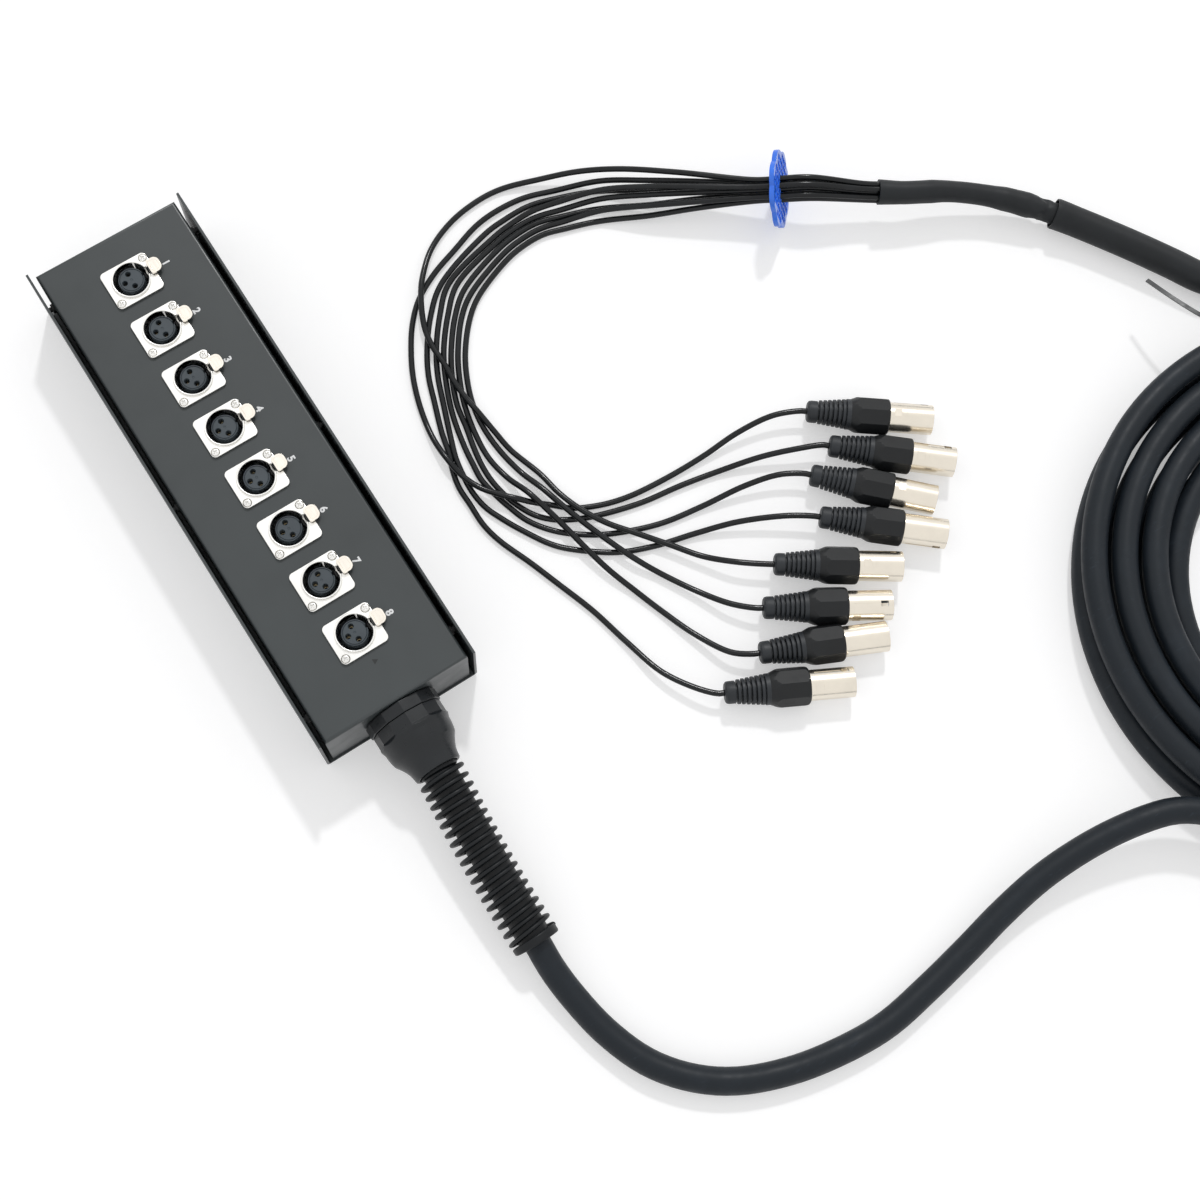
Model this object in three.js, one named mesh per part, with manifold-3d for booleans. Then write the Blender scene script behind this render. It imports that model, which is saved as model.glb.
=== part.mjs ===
// Eight-way stage box snake: a sheet metal box with eight panel sockets, one thick trunk cable
// that lies in a coil, and eight thin cords that end in cable plugs.
// Millimetres, +Z up. The origin is under the middle of the tray. +X points out of the gland.
import * as THREE from 'three';
import { mergeVertices } from 'three/addons/utils/BufferGeometryUtils.js';
import Module from 'manifold-3d';

const wasm = await Module();
wasm.setup();

// Sizes that several pieces share
const clearance = 0.3;
const overrun = 1;
const sheet = 1.5;
const channelCount = 8;
const curveSegments = 2;
const contact = { circle: 4.4, pin: 2.4, pinLength: 12, holeClearance: 0.25, sides: 5 };

// Box
const tray = { length: 343, width: 105, height: 56, bend: 3 };
const cover = { endSetback: 1.2, channelGap: 3.2, topDrop: 3.9, bend: 2.2, returnWidth: 10 };
cover.halfLength = tray.length / 2 - cover.endSetback;
cover.halfWidth = tray.width / 2 - sheet - cover.channelGap;
cover.bottom = sheet + clearance;
cover.top = tray.height - cover.topDrop;

// Panel sockets
const socket = {
  farMargin: 34.8, glandMargin: 47.8, flangeX: 26, flangeY: 31, corner: 3, flangeThick: 1.6,
  bore: 20.2, collarOuter: 24, collarHeight: 1.5, barrelOuter: 23.4, barrelDepth: 20,
  screwX: 9.5, screwY: 12, screwHead: 5.6, screwHeadHeight: 0.6, sides: 14, headSides: 6,
};
socket.pitch = (tray.length - socket.farMargin - socket.glandMargin) / (channelCount - 1);
socket.rowOffset = (socket.farMargin - socket.glandMargin) / 2;
socket.base = cover.top + clearance;
socket.face = socket.base + socket.flangeThick;
const insert = { post: 16, faceRecess: 1.4, baseThick: 3, holeDepth: 12, sides: 10 };
const tab = {
  width: 9.5, length: 7.5, thick: 1.2, lift: 1.3, nose: 3.6, root: 1.2,
  stemWidth: 5, stemThick: 1.5, stemInset: 0.3, stemDepth: 1.2, swing: 0.5,
};
tab.start = socket.collarOuter / 2 + 2 * clearance;

// Gland on the end plate
const gland = {
  axisHeight: 27, bore: 17.6, hexAcross: 44, hexLength: 7.6, spigot: 31, spigotLength: 8,
  shank: 24, nutAcross: 36, nutLength: 4.5, nutSides: 6, capWidth: 44, capGripLength: 10.7,
  capGrips: 12, shoulderLength: 11, shoulder: 39.7, mouthLength: 13.8, mouth: 28.9,
  capBore: 25.4, neck: 31, capChamfer: 1.5, sides: 18,
};
gland.seat = cover.halfLength + clearance;
gland.seam = gland.seat + gland.hexLength;
gland.capLength = gland.capGripLength + gland.shoulderLength + gland.mouthLength;
gland.mouthX = gland.seam + clearance + gland.capLength;

// Trunk cable, its coil and its bend relief
const trunk = { diameter: 16.3, sides: 10, leadSteps: 30, tailSteps: 10 };
const coil = {
  centre: new THREE.Vector2(416, 538), outerRadius: 177.5, pitch: 18.9, layerRise: 16.9,
  floorGap: 1.2, startAngle: 122, turns: 7.436, stepsPerTurn: 24, sides: 6,
};
coil.firstHeight = coil.floorGap + trunk.diameter / 2 * Math.cos(Math.PI / 6);
const relief = {
  shank: 23.6, seatDepth: 6, bore: 18.6, crest: 29, valley: 22, pitch: 5.76, ribs: 18,
  firstRib: 3, endRing: 4.5, sides: 8, ribsPerBoreRing: 5,
};
const trunkFloor = 8.4;
const leadPoints = [
  [212, 0, 27], [225, -0.8, 26], [247, -2.6, 23.3], [273.5, -4, 20.2], [298, -4.6, 17.7],
  [313, -4.7, 16.2], [328, -4.5, 15], [344, -5, 12.6], [363, -3.5, 10], [392, 2, trunkFloor],
  [419.5, 13, trunkFloor], [440.5, 29.5, trunkFloor], [456, 50, trunkFloor], [468, 78.5, trunkFloor],
  [474.7, 108, trunkFloor], [477.5, 140, trunkFloor], [473.5, 174, 8.7], [468, 205.5, 9.8],
  [461.8, 236, 12.6], [457.5, 268.5, 17], [458, 305, 22], [463, 336, 26], [469, 354, 27.5],
  [478.5, 367.5, 28], [493, 379.5, 27.6], [510, 390.5, 26.6], [526.5, 403.5, 25.7],
];
const tailPoints = [
  [280, 652, 8.6], [245, 625, 9.6], [216, 603.5, 10.8], [198.8, 590.4, 11.1], [179.8, 579.6, 11.2],
  [156.6, 563.8, 11.3], [127.4, 544.3, 11.7], [112, 531, 13.3], [88.3, 506, 16.2],
  [68.7, 478.8, 19.6], [54, 450.4, 22.6], [45.3, 436.8, 23],
];

// Shrink sleeves where the trunk splits into the thin cords
const sleeve = {
  largeOuter: 21.5, largeBore: 17.8, largeStart: 118, largeEnd: 240, neckOuter: 19.4, neckLength: 9,
  smallOuter: 16.5, smallBore: 15.3, smallStart: 233, jacketEnd: 230, sides: 10,
  largeRings: 6, smallRings: 7,
};

// Comb that keeps the thin cords apart
const comb = {
  diameter: 50.7, lobeDepth: 1.6, lobes: 6, thick: 2.6, hole: 4.1, pitch: 4.9, latticeRadius: 17,
  outlinePoints: 24, leanDegrees: 18.65,
};
comb.place = new THREE.Vector2(10.4, 382.6);
comb.across = new THREE.Vector3(-0.7816, 0.6238, 0).normalize();

// Tie round the coil, with its loose end
const tie = {
  width: 3.6, thick: 0.8, angle: 171, slack: 0.5, corner: 4, cornerSteps: 2, head: 6, headThick: 4.4,
  tailWidth: 2.7, tailSteps: 6,
};
const tieTailPoints = [[240, 561, 41], [227.5, 553.8, 40.5], [207, 548, 36], [188.7, 545.2, 30]];

// Cable plugs
const plug = {
  bootLength: 27.1, tip: 14, tipLead: 2, tipEnd: 11, tipLength: 7, ribs: 6, firstCrest: 15.2,
  lastCrest: 18.6, groove: 2.6, collar: 19.3, collarLength: 3, gripLength: 26, gripAcross: 22.4,
  gripChamfer: 1.4, shellOuter: 19, shellInner: 16.8, shellLength: 27.4, cavity: 14,
  windowWidth: 3.4, windowLength: 4.6, windowInset: 3.2, bootSides: 8, gripSides: 8,
  coreSides: 10, shellSides: 14,
};
plug.axisHeight = plug.gripAcross / 2;
plug.length = plug.bootLength + plug.gripLength + plug.shellLength;
const plugLays = [
  { start: [141.8, 315.8], toward: [189.7, 380.8] },
  { start: [168.2, 314.8], toward: [220, 376.3] },
  { start: [177.8, 294], toward: [234.3, 351.8] },
  { start: [203.5, 283.2], toward: [255.7, 344.6] },
  { start: [213.4, 241.7], toward: [257.7, 309] },
  { start: [232.7, 220.3], toward: [274.1, 289.2] },
  { start: [255, 202.5], toward: [289.2, 276.8] },
  { start: [264, 170.6], toward: [301, 242] },
];

// Thin cords, from inside the small sleeve, through the comb and over the floor to the plugs
const cord = { diameter: 3.4, sides: 8, steps: 30, straight: 4 };
const cordPoints = [
  [
    [47.5, 447, 23], [38, 432, 23], [17.3, 402.3, 27.2], [6.6, 385.7, 24.4], [-1.5, 373.2, 22.3],
    [-24.5, 343, 18], [-42.5, 319, 14], [-62, 293, 7.5], [-73.5, 265.5, 3], [-80, 246, 2],
    [-81.5, 225.5, 2], [-79.5, 209, 2], [-72.5, 188.5, 2], [-65, 168, 2], [-55, 150.5, 2],
    [-42.5, 138, 2], [-28.5, 128.5, 2], [-13.5, 120.5, 2], [2.5, 114.5, 2], [18.5, 110.5, 2],
    [32.5, 108.5, 4], [47, 108.5, 6.6], [60.5, 110.5, 6], [73, 115.5, 6], [81.5, 121.5, 6.6],
    [88.5, 127.5, 7.6], [93, 132, 7.4], [98.5, 138.5, 4.4], [104.5, 146.5, 2], [114.5, 158, 2],
    [120, 168.5, 2], [124.5, 181, 2], [127.5, 195.5, 2], [129.5, 220.5, 2], [130, 246, 3.5],
    [129.5, 272, 7.5], [132.5, 296, 10.5],
  ],
  [
    [50.5, 445, 19], [41, 430, 19], [22.1, 400.5, 22.6], [11.4, 383.8, 19.8], [3.3, 371.3, 17.7],
    [-16.5, 338, 12], [-31.5, 312, 5.5], [-47.5, 284, 2], [-56, 259.5, 2], [-60.5, 243.5, 2],
    [-60.5, 227.5, 2], [-58, 212.5, 2], [-45.5, 178.5, 2], [-33.5, 164.5, 2], [-15, 150, 2],
    [0.5, 141, 2], [18.5, 133.5, 2], [34, 130.5, 2], [47, 127.5, 2], [59, 125.5, 2], [71, 125, 2],
    [82.5, 126.5, 2], [94.5, 130, 2], [105.5, 135.5, 2], [114.5, 144, 2], [122.5, 157.5, 2],
    [128, 172, 2], [134.5, 196.5, 2], [138.5, 224, 2.5], [143.5, 249.5, 3], [150.5, 275.5, 7],
    [158.5, 296, 10],
  ],
  [
    [50.5, 445, 23], [41, 430, 23], [21.1, 399.3, 27.2], [10.4, 382.6, 24.4], [2.4, 370.1, 22.3],
    [-18, 338.5, 18], [-34, 313.5, 14], [-51, 286.5, 7.5], [-60, 261, 3], [-64.5, 244, 2],
    [-64.5, 227, 2], [-62, 212, 2], [-51, 176.5, 2], [-36, 160.5, 2], [-17.5, 146, 2],
    [-2, 137.5, 2], [21.5, 128, 2], [45.5, 122.5, 2], [57, 121, 2], [69, 120, 2], [81, 122, 2],
    [92.5, 125, 2], [106.5, 130, 2], [121.5, 141, 2], [136, 159.5, 2], [144.5, 176.5, 2],
    [152.5, 200, 2], [157, 227.5, 3], [161, 256, 7.5], [167, 277.5, 10.5],
  ],
  [
    [50.5, 445, 27], [41, 430, 27], [20.1, 398, 31.9], [9.4, 381.4, 29.1], [1.4, 368.9, 27],
    [-19, 339.5, 23.5], [-36.5, 315, 19.5], [-54.5, 288.5, 12], [-64, 262.5, 6.5],
    [-68.5, 244.5, 4], [-68.5, 226.5, 2], [-66, 211.5, 2], [-54, 172, 2], [-38.5, 156, 2],
    [-20, 142, 2], [-4.5, 133.5, 2], [13.5, 126.5, 2], [36.5, 118, 2], [48.5, 114, 2], [60, 112, 2],
    [72.5, 111, 2], [85, 112.5, 2], [96.5, 117, 2], [109.5, 123.5, 2], [129.5, 136, 2],
    [145, 153.5, 2], [154.5, 168, 2], [162.5, 188, 2], [169.5, 214, 3], [178, 239, 7],
    [191.5, 266, 10.5],
  ],
  [
    [47.5, 447, 27], [38, 432, 27], [16.3, 401.1, 31.9], [5.6, 384.4, 29.1], [-2.4, 371.9, 27],
    [-35.5, 334.5, 21], [-59.5, 305.5, 15.5], [-74, 284, 10], [-84.5, 261.5, 5], [-93.5, 234.5, 2],
    [-93, 209, 2], [-88, 190, 2], [-80, 175, 3], [-69.5, 163.5, 5], [-58.5, 154.5, 6],
    [-37, 143.5, 6], [-23, 140.5, 6], [-7.5, 140.5, 6], [5, 139.5, 6], [19.5, 140, 6],
    [31, 141.5, 6], [46, 143.5, 4], [62, 146, 2], [85, 153, 2.5], [103.5, 156, 5], [120.5, 162, 6],
    [135.5, 170.5, 6], [149, 181, 6], [167, 195, 6], [185, 208.5, 7], [200, 223.5, 10.5],
  ],
  [
    [54, 443, 19], [44, 428, 19], [25.9, 397.4, 22.6], [15.2, 380.8, 19.8], [7.2, 368.3, 17.7],
    [-11, 334.5, 12], [-25, 308, 5.5], [-40, 279.5, 2], [-47.5, 257, 2], [-51.5, 242.5, 2],
    [-51.5, 228, 2], [-49, 214, 2], [-37, 184.5, 2], [-27, 171.5, 2], [-10, 157.5, 2], [5, 149, 2],
    [22, 142.5, 2], [39.5, 139.5, 2], [59, 140, 2], [77.5, 143.5, 2], [94, 148.5, 5],
    [110.5, 153, 6], [126.5, 158, 6], [144.5, 164.5, 6], [163, 172, 6], [178, 180, 4],
    [200.5, 193, 5], [219.5, 205.5, 9],
  ],
  [
    [54, 443, 23], [44, 428, 23], [25, 396.2, 27.2], [14.2, 379.5, 24.4], [6.2, 367.1, 22.3],
    [-12.5, 335, 18], [-27.5, 309.5, 14], [-44, 282, 7.5], [-52, 258.5, 3], [-56, 243, 2],
    [-56, 228, 2], [-53.5, 213.5, 2], [-41, 181, 2], [-31, 168, 2], [-12.5, 153.5, 2],
    [2.5, 145, 2], [21, 137.5, 2], [40.5, 133, 2], [59, 131.5, 2], [77, 134.5, 3], [92, 139, 8],
    [107.5, 143, 8], [124, 147, 6], [142.5, 150.5, 6], [161, 155, 5], [179.5, 161.5, 3],
    [199.5, 168.5, 2.5], [224, 177.5, 5], [245, 188.5, 9.5],
  ],
  [
    [47.5, 447, 19], [38, 432, 19], [18.3, 403.5, 22.6], [7.5, 386.9, 19.8], [-0.5, 374.4, 17.7],
    [-23.5, 342, 12], [-40, 317.5, 5.5], [-58, 291, 2], [-68.5, 264, 2], [-73.5, 245, 2],
    [-73.5, 226, 2], [-71.5, 210.5, 2], [-56.5, 168, 2], [-41.5, 151, 2], [-23, 137, 2],
    [-7.5, 128.5, 2], [10.5, 122, 2], [29.5, 115.5, 2], [43.5, 112, 2], [54.5, 108, 2],
    [66, 105.5, 2], [78.5, 105.5, 2], [94.5, 105.5, 2], [108.5, 108.5, 2], [130.5, 117, 2],
    [150.5, 124, 2], [177, 133, 2], [204.5, 139.5, 3], [232, 146.5, 7], [252, 158, 10],
  ],
];

// Materials
function paint(color, roughness, metalness) {
  return () => new THREE.MeshStandardMaterial({ color, roughness, metalness });
}

const blackPaint = paint(0x2c3032, 0.42, 0.3);
const nickel = paint(0xd6d4cf, 0.25, 1);
const slate = paint(0x3c424c, 0.6, 0);
const tabMetal = paint(0xc9cdd1, 0.3, 1);
const shellMetal = paint(0xc2b8aa, 0.28, 1);
const plugBlack = paint(0x1e2122, 0.5, 0);
const glandBlack = paint(0x232629, 0.45, 0);
const rubber = paint(0x232a32, 0.6, 0);
const shrinkTube = paint(0x2d2f30, 0.7, 0);
const combBlue = paint(0x326ee6, 0.45, 0);
const tieBlack = paint(0x20262c, 0.5, 0);

const model = new THREE.Group();

function addMesh(name, geometry, material, parent = model) {
  const mesh = new THREE.Mesh(geometry, material());
  mesh.name = name;
  parent.add(mesh);
  return mesh;
}

// Closed bodies and booleans
function signedVolume(position, index) {
  const [a, b, c] = [new THREE.Vector3(), new THREE.Vector3(), new THREE.Vector3()];
  let sum = 0;
  for (let i = 0; i < index.length; i += 3) {
    a.fromBufferAttribute(position, index[i]);
    b.fromBufferAttribute(position, index[i + 1]);
    c.fromBufferAttribute(position, index[i + 2]);
    sum += a.dot(b.cross(c));
  }
  return sum / 6;
}

function closed(geometry) {
  const bare = geometry.clone();
  bare.deleteAttribute('normal');
  bare.deleteAttribute('uv');
  const merged = mergeVertices(bare);
  const source = merged.index.array;
  const kept = [];
  for (let i = 0; i < source.length; i += 3) {
    const [a, b, c] = [source[i], source[i + 1], source[i + 2]];
    if (a !== b && b !== c && c !== a) kept.push(a, b, c);
  }
  if (signedVolume(merged.attributes.position, kept) < 0) kept.reverse();
  merged.setIndex(kept);
  return merged;
}

function toSolid(geometry) {
  const body = closed(geometry);
  const vertProperties = new Float32Array(body.attributes.position.array);
  const triVerts = new Uint32Array(body.index.array);
  return new wasm.Manifold(new wasm.Mesh({ numProp: 3, vertProperties, triVerts }));
}

function toGeometry(solid) {
  const mesh = solid.getMesh();
  const geometry = new THREE.BufferGeometry();
  const position = new Float32Array(mesh.vertProperties);
  const index = new Uint32Array(mesh.triVerts);
  geometry.setAttribute('position', new THREE.BufferAttribute(position, 3));
  geometry.setIndex(new THREE.BufferAttribute(index, 1));
  return geometry;
}

function unite(...geometries) {
  return geometries.map(toSolid).reduce((whole, piece) => whole.add(piece));
}

function boxBetween(low, high) {
  const size = high.map((value, axis) => value - low[axis]);
  const middle = high.map((value, axis) => (value + low[axis]) / 2);
  return new THREE.BoxGeometry(...size).translate(...middle);
}

function uprightCylinder(radius, bottom, top, sides) {
  const geometry = new THREE.CylinderGeometry(radius, radius, top - bottom, sides);
  return geometry.rotateX(Math.PI / 2).translate(0, 0, (top + bottom) / 2);
}

// A turned body: each point is a radius and a place along the axis
function turned(profile, sides, turn = 0) {
  const points = profile.map(([radius, along]) => new THREE.Vector2(radius, along));
  return new THREE.LatheGeometry(points, sides, turn);
}

const turnedUp = (profile, sides) => turned(profile, sides).rotateX(Math.PI / 2);
const turnedAlongX = (profile, sides, turn) => turned(profile, sides, turn).rotateZ(-Math.PI / 2);

// Outline drawn in Y and Z, run along +X
function runAlongX(shape, start, length) {
  const settings = { depth: length, bevelEnabled: false, curveSegments };
  const geometry = new THREE.ExtrudeGeometry(shape, settings);
  const [x, y, z] = [new THREE.Vector3(1, 0, 0), new THREE.Vector3(0, 1, 0), new THREE.Vector3(0, 0, 1)];
  return geometry.applyMatrix4(new THREE.Matrix4().makeBasis(y, z, x).setPosition(start, 0, 0));
}

// Outline drawn in X and Z, run across from +Y to -Y
function runAcross(shape, halfWidth) {
  const settings = { depth: 2 * halfWidth, bevelEnabled: false, curveSegments };
  const geometry = new THREE.ExtrudeGeometry(shape, settings);
  return geometry.rotateX(Math.PI / 2).translate(0, halfWidth, 0);
}

function roundedTop(half, bottom, top, radius) {
  const shape = new THREE.Shape();
  shape.moveTo(-half, bottom);
  shape.lineTo(half, bottom);
  shape.lineTo(half, top - radius);
  shape.absarc(half - radius, top - radius, radius, 0, Math.PI / 2);
  shape.absarc(radius - half, top - radius, radius, Math.PI / 2, Math.PI);
  return shape;
}

function roundedRectangle(halfX, halfY, radius) {
  const shape = new THREE.Shape();
  shape.absarc(halfX - radius, halfY - radius, radius, 0, Math.PI / 2);
  shape.absarc(radius - halfX, halfY - radius, radius, Math.PI / 2, Math.PI);
  shape.absarc(radius - halfX, radius - halfY, radius, Math.PI, 1.5 * Math.PI);
  shape.absarc(halfX - radius, radius - halfY, radius, 1.5 * Math.PI, 2 * Math.PI);
  return shape;
}

// Tray: one bent sheet, open at both ends
function makeTray() {
  const half = tray.width / 2;
  const inside = half - sheet;
  const innerBend = tray.bend - sheet;
  const shape = new THREE.Shape();
  shape.moveTo(-half, tray.height);
  shape.absarc(tray.bend - half, tray.bend, tray.bend, Math.PI, 1.5 * Math.PI);
  shape.absarc(half - tray.bend, tray.bend, tray.bend, 1.5 * Math.PI, 2 * Math.PI);
  shape.lineTo(half, tray.height);
  shape.lineTo(inside, tray.height);
  shape.absarc(inside - innerBend, tray.bend, innerBend, 0, -Math.PI / 2, true);
  shape.absarc(innerBend - inside, tray.bend, innerBend, -Math.PI / 2, -Math.PI, true);
  shape.lineTo(-inside, tray.height);
  addMesh('base_tray', closed(runAlongX(shape, -tray.length / 2, tray.length)), blackPaint);
}

// Cover: panel and four bent-down sides, with return flanges on the tray floor
function bentShell(halfLength, halfWidth, bottom, top, radius) {
  const endView = roundedTop(halfWidth, bottom, top, radius);
  const sideView = roundedTop(halfLength, bottom, top, radius);
  const lengthwise = runAlongX(endView, -halfLength, 2 * halfLength);
  const crosswise = runAcross(sideView, halfWidth);
  return toSolid(lengthwise).intersect(toSolid(crosswise));
}

function socketX(index) {
  return socket.rowOffset + (index - (channelCount - 1) / 2) * socket.pitch;
}

function makeCover() {
  const { halfLength, halfWidth, bottom, top, bend, returnWidth } = cover;
  const outer = bentShell(halfLength, halfWidth, bottom, top, bend);
  const innerLength = halfLength - sheet;
  const innerWidth = halfWidth - sheet;
  const inner = bentShell(innerLength, innerWidth, bottom + sheet, top - sheet, bend - sheet);
  const mouthX = halfLength - returnWidth;
  const mouthY = halfWidth - returnWidth;
  const mouthLow = [-mouthX, -mouthY, bottom - overrun];
  const mouth = boxBetween(mouthLow, [mouthX, mouthY, bottom + sheet + overrun]);
  let solid = outer.subtract(inner).subtract(toSolid(mouth));
  const holeRadius = socket.barrelOuter / 2 + clearance;
  for (let i = 0; i < channelCount; i += 1) {
    const hole = uprightCylinder(holeRadius, top - sheet - overrun, top + overrun, socket.sides);
    solid = solid.subtract(toSolid(hole.translate(socketX(i), 0, 0)));
  }
  const glandRadius = gland.shank / 2 + clearance;
  const near = halfLength - sheet - overrun;
  const far = halfLength + overrun;
  const profile = [[0, near], [glandRadius, near], [glandRadius, far], [0, far]];
  const glandHole = turnedAlongX(profile, gland.sides).translate(0, 0, gland.axisHeight);
  addMesh('top_cover', toGeometry(solid.subtract(toSolid(glandHole))), blackPaint);
}

// Socket: flange with raised collar, barrel through the panel, two screws
function makeFlange(index) {
  const { base, face, sides } = socket;
  const rim = face + socket.collarHeight;
  const outline = roundedRectangle(socket.flangeX / 2, socket.flangeY / 2, socket.corner);
  const settings = { depth: socket.flangeThick, bevelEnabled: false, curveSegments };
  const plate = new THREE.ExtrudeGeometry(outline, settings);
  const barrelBottom = base - socket.barrelDepth;
  const boreRadius = socket.bore / 2;
  const barrel = uprightCylinder(socket.barrelOuter / 2, barrelBottom, face, sides);
  const collar = uprightCylinder(socket.collarOuter / 2, base, rim, sides);
  const bore = uprightCylinder(boreRadius, barrelBottom - overrun, rim + overrun, sides);
  const headTop = face + socket.screwHeadHeight;
  const head = () => uprightCylinder(socket.screwHead / 2, base, headTop, socket.headSides);
  const screwA = head().translate(-socket.screwX, socket.screwY, 0);
  const screwB = head().translate(socket.screwX, -socket.screwY, 0);
  const stem = tab.start + tab.stemInset;
  const notch = boxBetween(
    [-tab.stemWidth / 2 - tab.swing, stem - tab.swing, base - overrun],
    [tab.stemWidth / 2 + tab.swing, stem + tab.stemThick + tab.swing, face + overrun],
  );
  const solid = unite(plate.translate(0, 0, base), barrel, collar, screwA, screwB);
  const cut = solid.subtract(toSolid(bore)).subtract(toSolid(notch));
  const mesh = addMesh(`socket_flange_${index + 1}`, toGeometry(cut), nickel);
  mesh.position.x = socketX(index);
}

function makeInsert(index) {
  const top = socket.face + socket.collarHeight - insert.faceRecess;
  const seat = socket.base - socket.barrelDepth - clearance;
  const baseRadius = socket.barrelOuter / 2;
  const bottom = seat - insert.baseThick;
  const postRadius = insert.post / 2;
  const profile = [
    [0, bottom], [baseRadius, bottom], [baseRadius, seat], [postRadius, seat], [postRadius, top],
    [0, top],
  ];
  let solid = toSolid(turnedUp(profile, insert.sides));
  const holeRadius = contact.pin / 2 + contact.holeClearance;
  for (const [x, y] of [[-1, 0], [1, 0], [0, -1]]) {
    const hole = uprightCylinder(holeRadius, top - insert.holeDepth, top + overrun, contact.sides);
    solid = solid.subtract(toSolid(hole.translate(x * contact.circle, y * contact.circle, 0)));
  }
  const mesh = addMesh(`socket_insert_${index + 1}`, toGeometry(solid), slate);
  mesh.position.x = socketX(index);
}

// Latch tab: rounded finger plate with a stem that dips into the flange notch
function makeTab(index) {
  const half = tab.width / 2;
  const underside = socket.face + tab.lift;
  const outline = new THREE.Shape();
  const noseY = tab.start + tab.length - tab.nose;
  outline.moveTo(half - tab.root, tab.start);
  outline.lineTo(half, tab.start + tab.root);
  outline.absarc(half - tab.nose, noseY, tab.nose, 0, Math.PI / 2);
  outline.absarc(tab.nose - half, noseY, tab.nose, Math.PI / 2, Math.PI);
  outline.lineTo(-half, tab.start + tab.root);
  outline.lineTo(tab.root - half, tab.start);
  const settings = { depth: tab.thick, bevelEnabled: false, curveSegments };
  const plate = new THREE.ExtrudeGeometry(outline, settings);
  const stemStart = tab.start + tab.stemInset;
  const stem = boxBetween(
    [-tab.stemWidth / 2, stemStart, socket.face - tab.stemDepth],
    [tab.stemWidth / 2, stemStart + tab.stemThick, underside + tab.thick / 2],
  );
  const solid = unite(plate.translate(0, 0, underside), stem);
  const mesh = addMesh(`latch_tab_${index + 1}`, toGeometry(solid), tabMetal);
  mesh.position.x = socketX(index);
}

// Gland: hexagon body with spigot and lock nut, and a domed cap
function makeGland() {
  const corner = (across, sides) => across / 2 / Math.cos(Math.PI / sides);
  const { seat, seam } = gland;
  const nutEnd = cover.halfLength - sheet - clearance;
  const nutStart = nutEnd - gland.nutLength;
  const spigotEnd = seam + gland.spigotLength;
  const rod = (radius, from, to, sides) => {
    return turnedAlongX([[0, from], [radius, from], [radius, to], [0, to]], sides);
  };
  const hexagon = rod(corner(gland.hexAcross, gland.nutSides), seat, seam, gland.nutSides);
  const nut = rod(corner(gland.nutAcross, gland.nutSides), nutStart, nutEnd, gland.nutSides);
  const shank = rod(gland.shank / 2, nutStart, seam, gland.sides);
  const spigot = rod(gland.spigot / 2, seat, spigotEnd, gland.sides);
  const bore = rod(gland.bore / 2, nutStart - overrun, spigotEnd + overrun, gland.sides);
  const body = unite(hexagon, nut, shank, spigot).subtract(toSolid(bore));
  addMesh('gland_body', toGeometry(body), glandBlack).position.z = gland.axisHeight;

  const grip = seam + clearance;
  const gripEnd = grip + gland.capGripLength;
  const shoulderX = gripEnd + gland.shoulderLength;
  const gripRadius = gland.capWidth / 2;
  const chamferRadius = gripRadius - gland.capChamfer;
  const outer = [
    [0, gripEnd], [chamferRadius, gripEnd], [gland.shoulder / 2, shoulderX],
    [gland.neck / 2, shoulderX + gland.mouthLength / 2], [gland.mouth / 2, gland.mouthX],
    [0, gland.mouthX],
  ];
  const gripProfile = [
    [0, grip], [gripRadius, grip], [gripRadius, gripEnd - gland.capChamfer],
    [chamferRadius, gripEnd], [0, gripEnd],
  ];
  const hollowRadius = gland.spigot / 2 + clearance;
  const hollowEnd = grip + gland.spigotLength + clearance;
  const hollow = [
    [0, grip - overrun], [hollowRadius, grip - overrun], [hollowRadius, hollowEnd],
    [gland.capBore / 2, hollowEnd + gland.capChamfer], [gland.capBore / 2, gland.mouthX + overrun],
    [0, gland.mouthX + overrun],
  ];
  const cap = unite(turnedAlongX(outer, gland.sides), turnedAlongX(gripProfile, gland.capGrips));
  const opened = cap.subtract(toSolid(turnedAlongX(hollow, gland.sides)));
  addMesh('gland_cap', toGeometry(opened), glandBlack).position.z = gland.axisHeight;
}

// Rings joined into one closed skin. A loop of rings joins its last ring to its first.
function skin(rings, isLoop) {
  const count = rings[0].length;
  const index = [];
  const bands = isLoop ? rings.length : rings.length - 1;
  for (let i = 0; i < bands; i += 1) {
    const next = (i + 1) % rings.length;
    for (let j = 0; j < count; j += 1) {
      const k = (j + 1) % count;
      index.push(i * count + j, i * count + k, next * count + k);
      index.push(i * count + j, next * count + k, next * count + j);
    }
  }
  const last = (rings.length - 1) * count;
  for (let j = 1; j < count - 1 && !isLoop; j += 1) {
    index.push(0, j + 1, j);
    index.push(last, last + j, last + j + 1);
  }
  const geometry = new THREE.BufferGeometry();
  const position = rings.flat().flatMap((point) => point.toArray());
  geometry.setAttribute('position', new THREE.Float32BufferAttribute(position, 3));
  geometry.setIndex(index);
  return closed(geometry);
}

// Ring of points square to a direction, its first point level with the centre
function ringAt(centre, direction, radius, sides) {
  const along = direction.clone().normalize();
  const side = new THREE.Vector3(0, 0, 1).cross(along).normalize();
  const up = along.clone().cross(side);
  return Array.from({ length: sides }, (_, j) => {
    const turn = j / sides * 2 * Math.PI;
    const point = centre.clone().addScaledVector(side, radius * Math.cos(turn));
    return point.addScaledVector(up, radius * Math.sin(turn));
  });
}

function smoothCurve(points) {
  return new THREE.CatmullRomCurve3(points, false, 'centripetal');
}

const toPoints = (list) => list.map((xyz) => new THREE.Vector3(...xyz));

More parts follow.
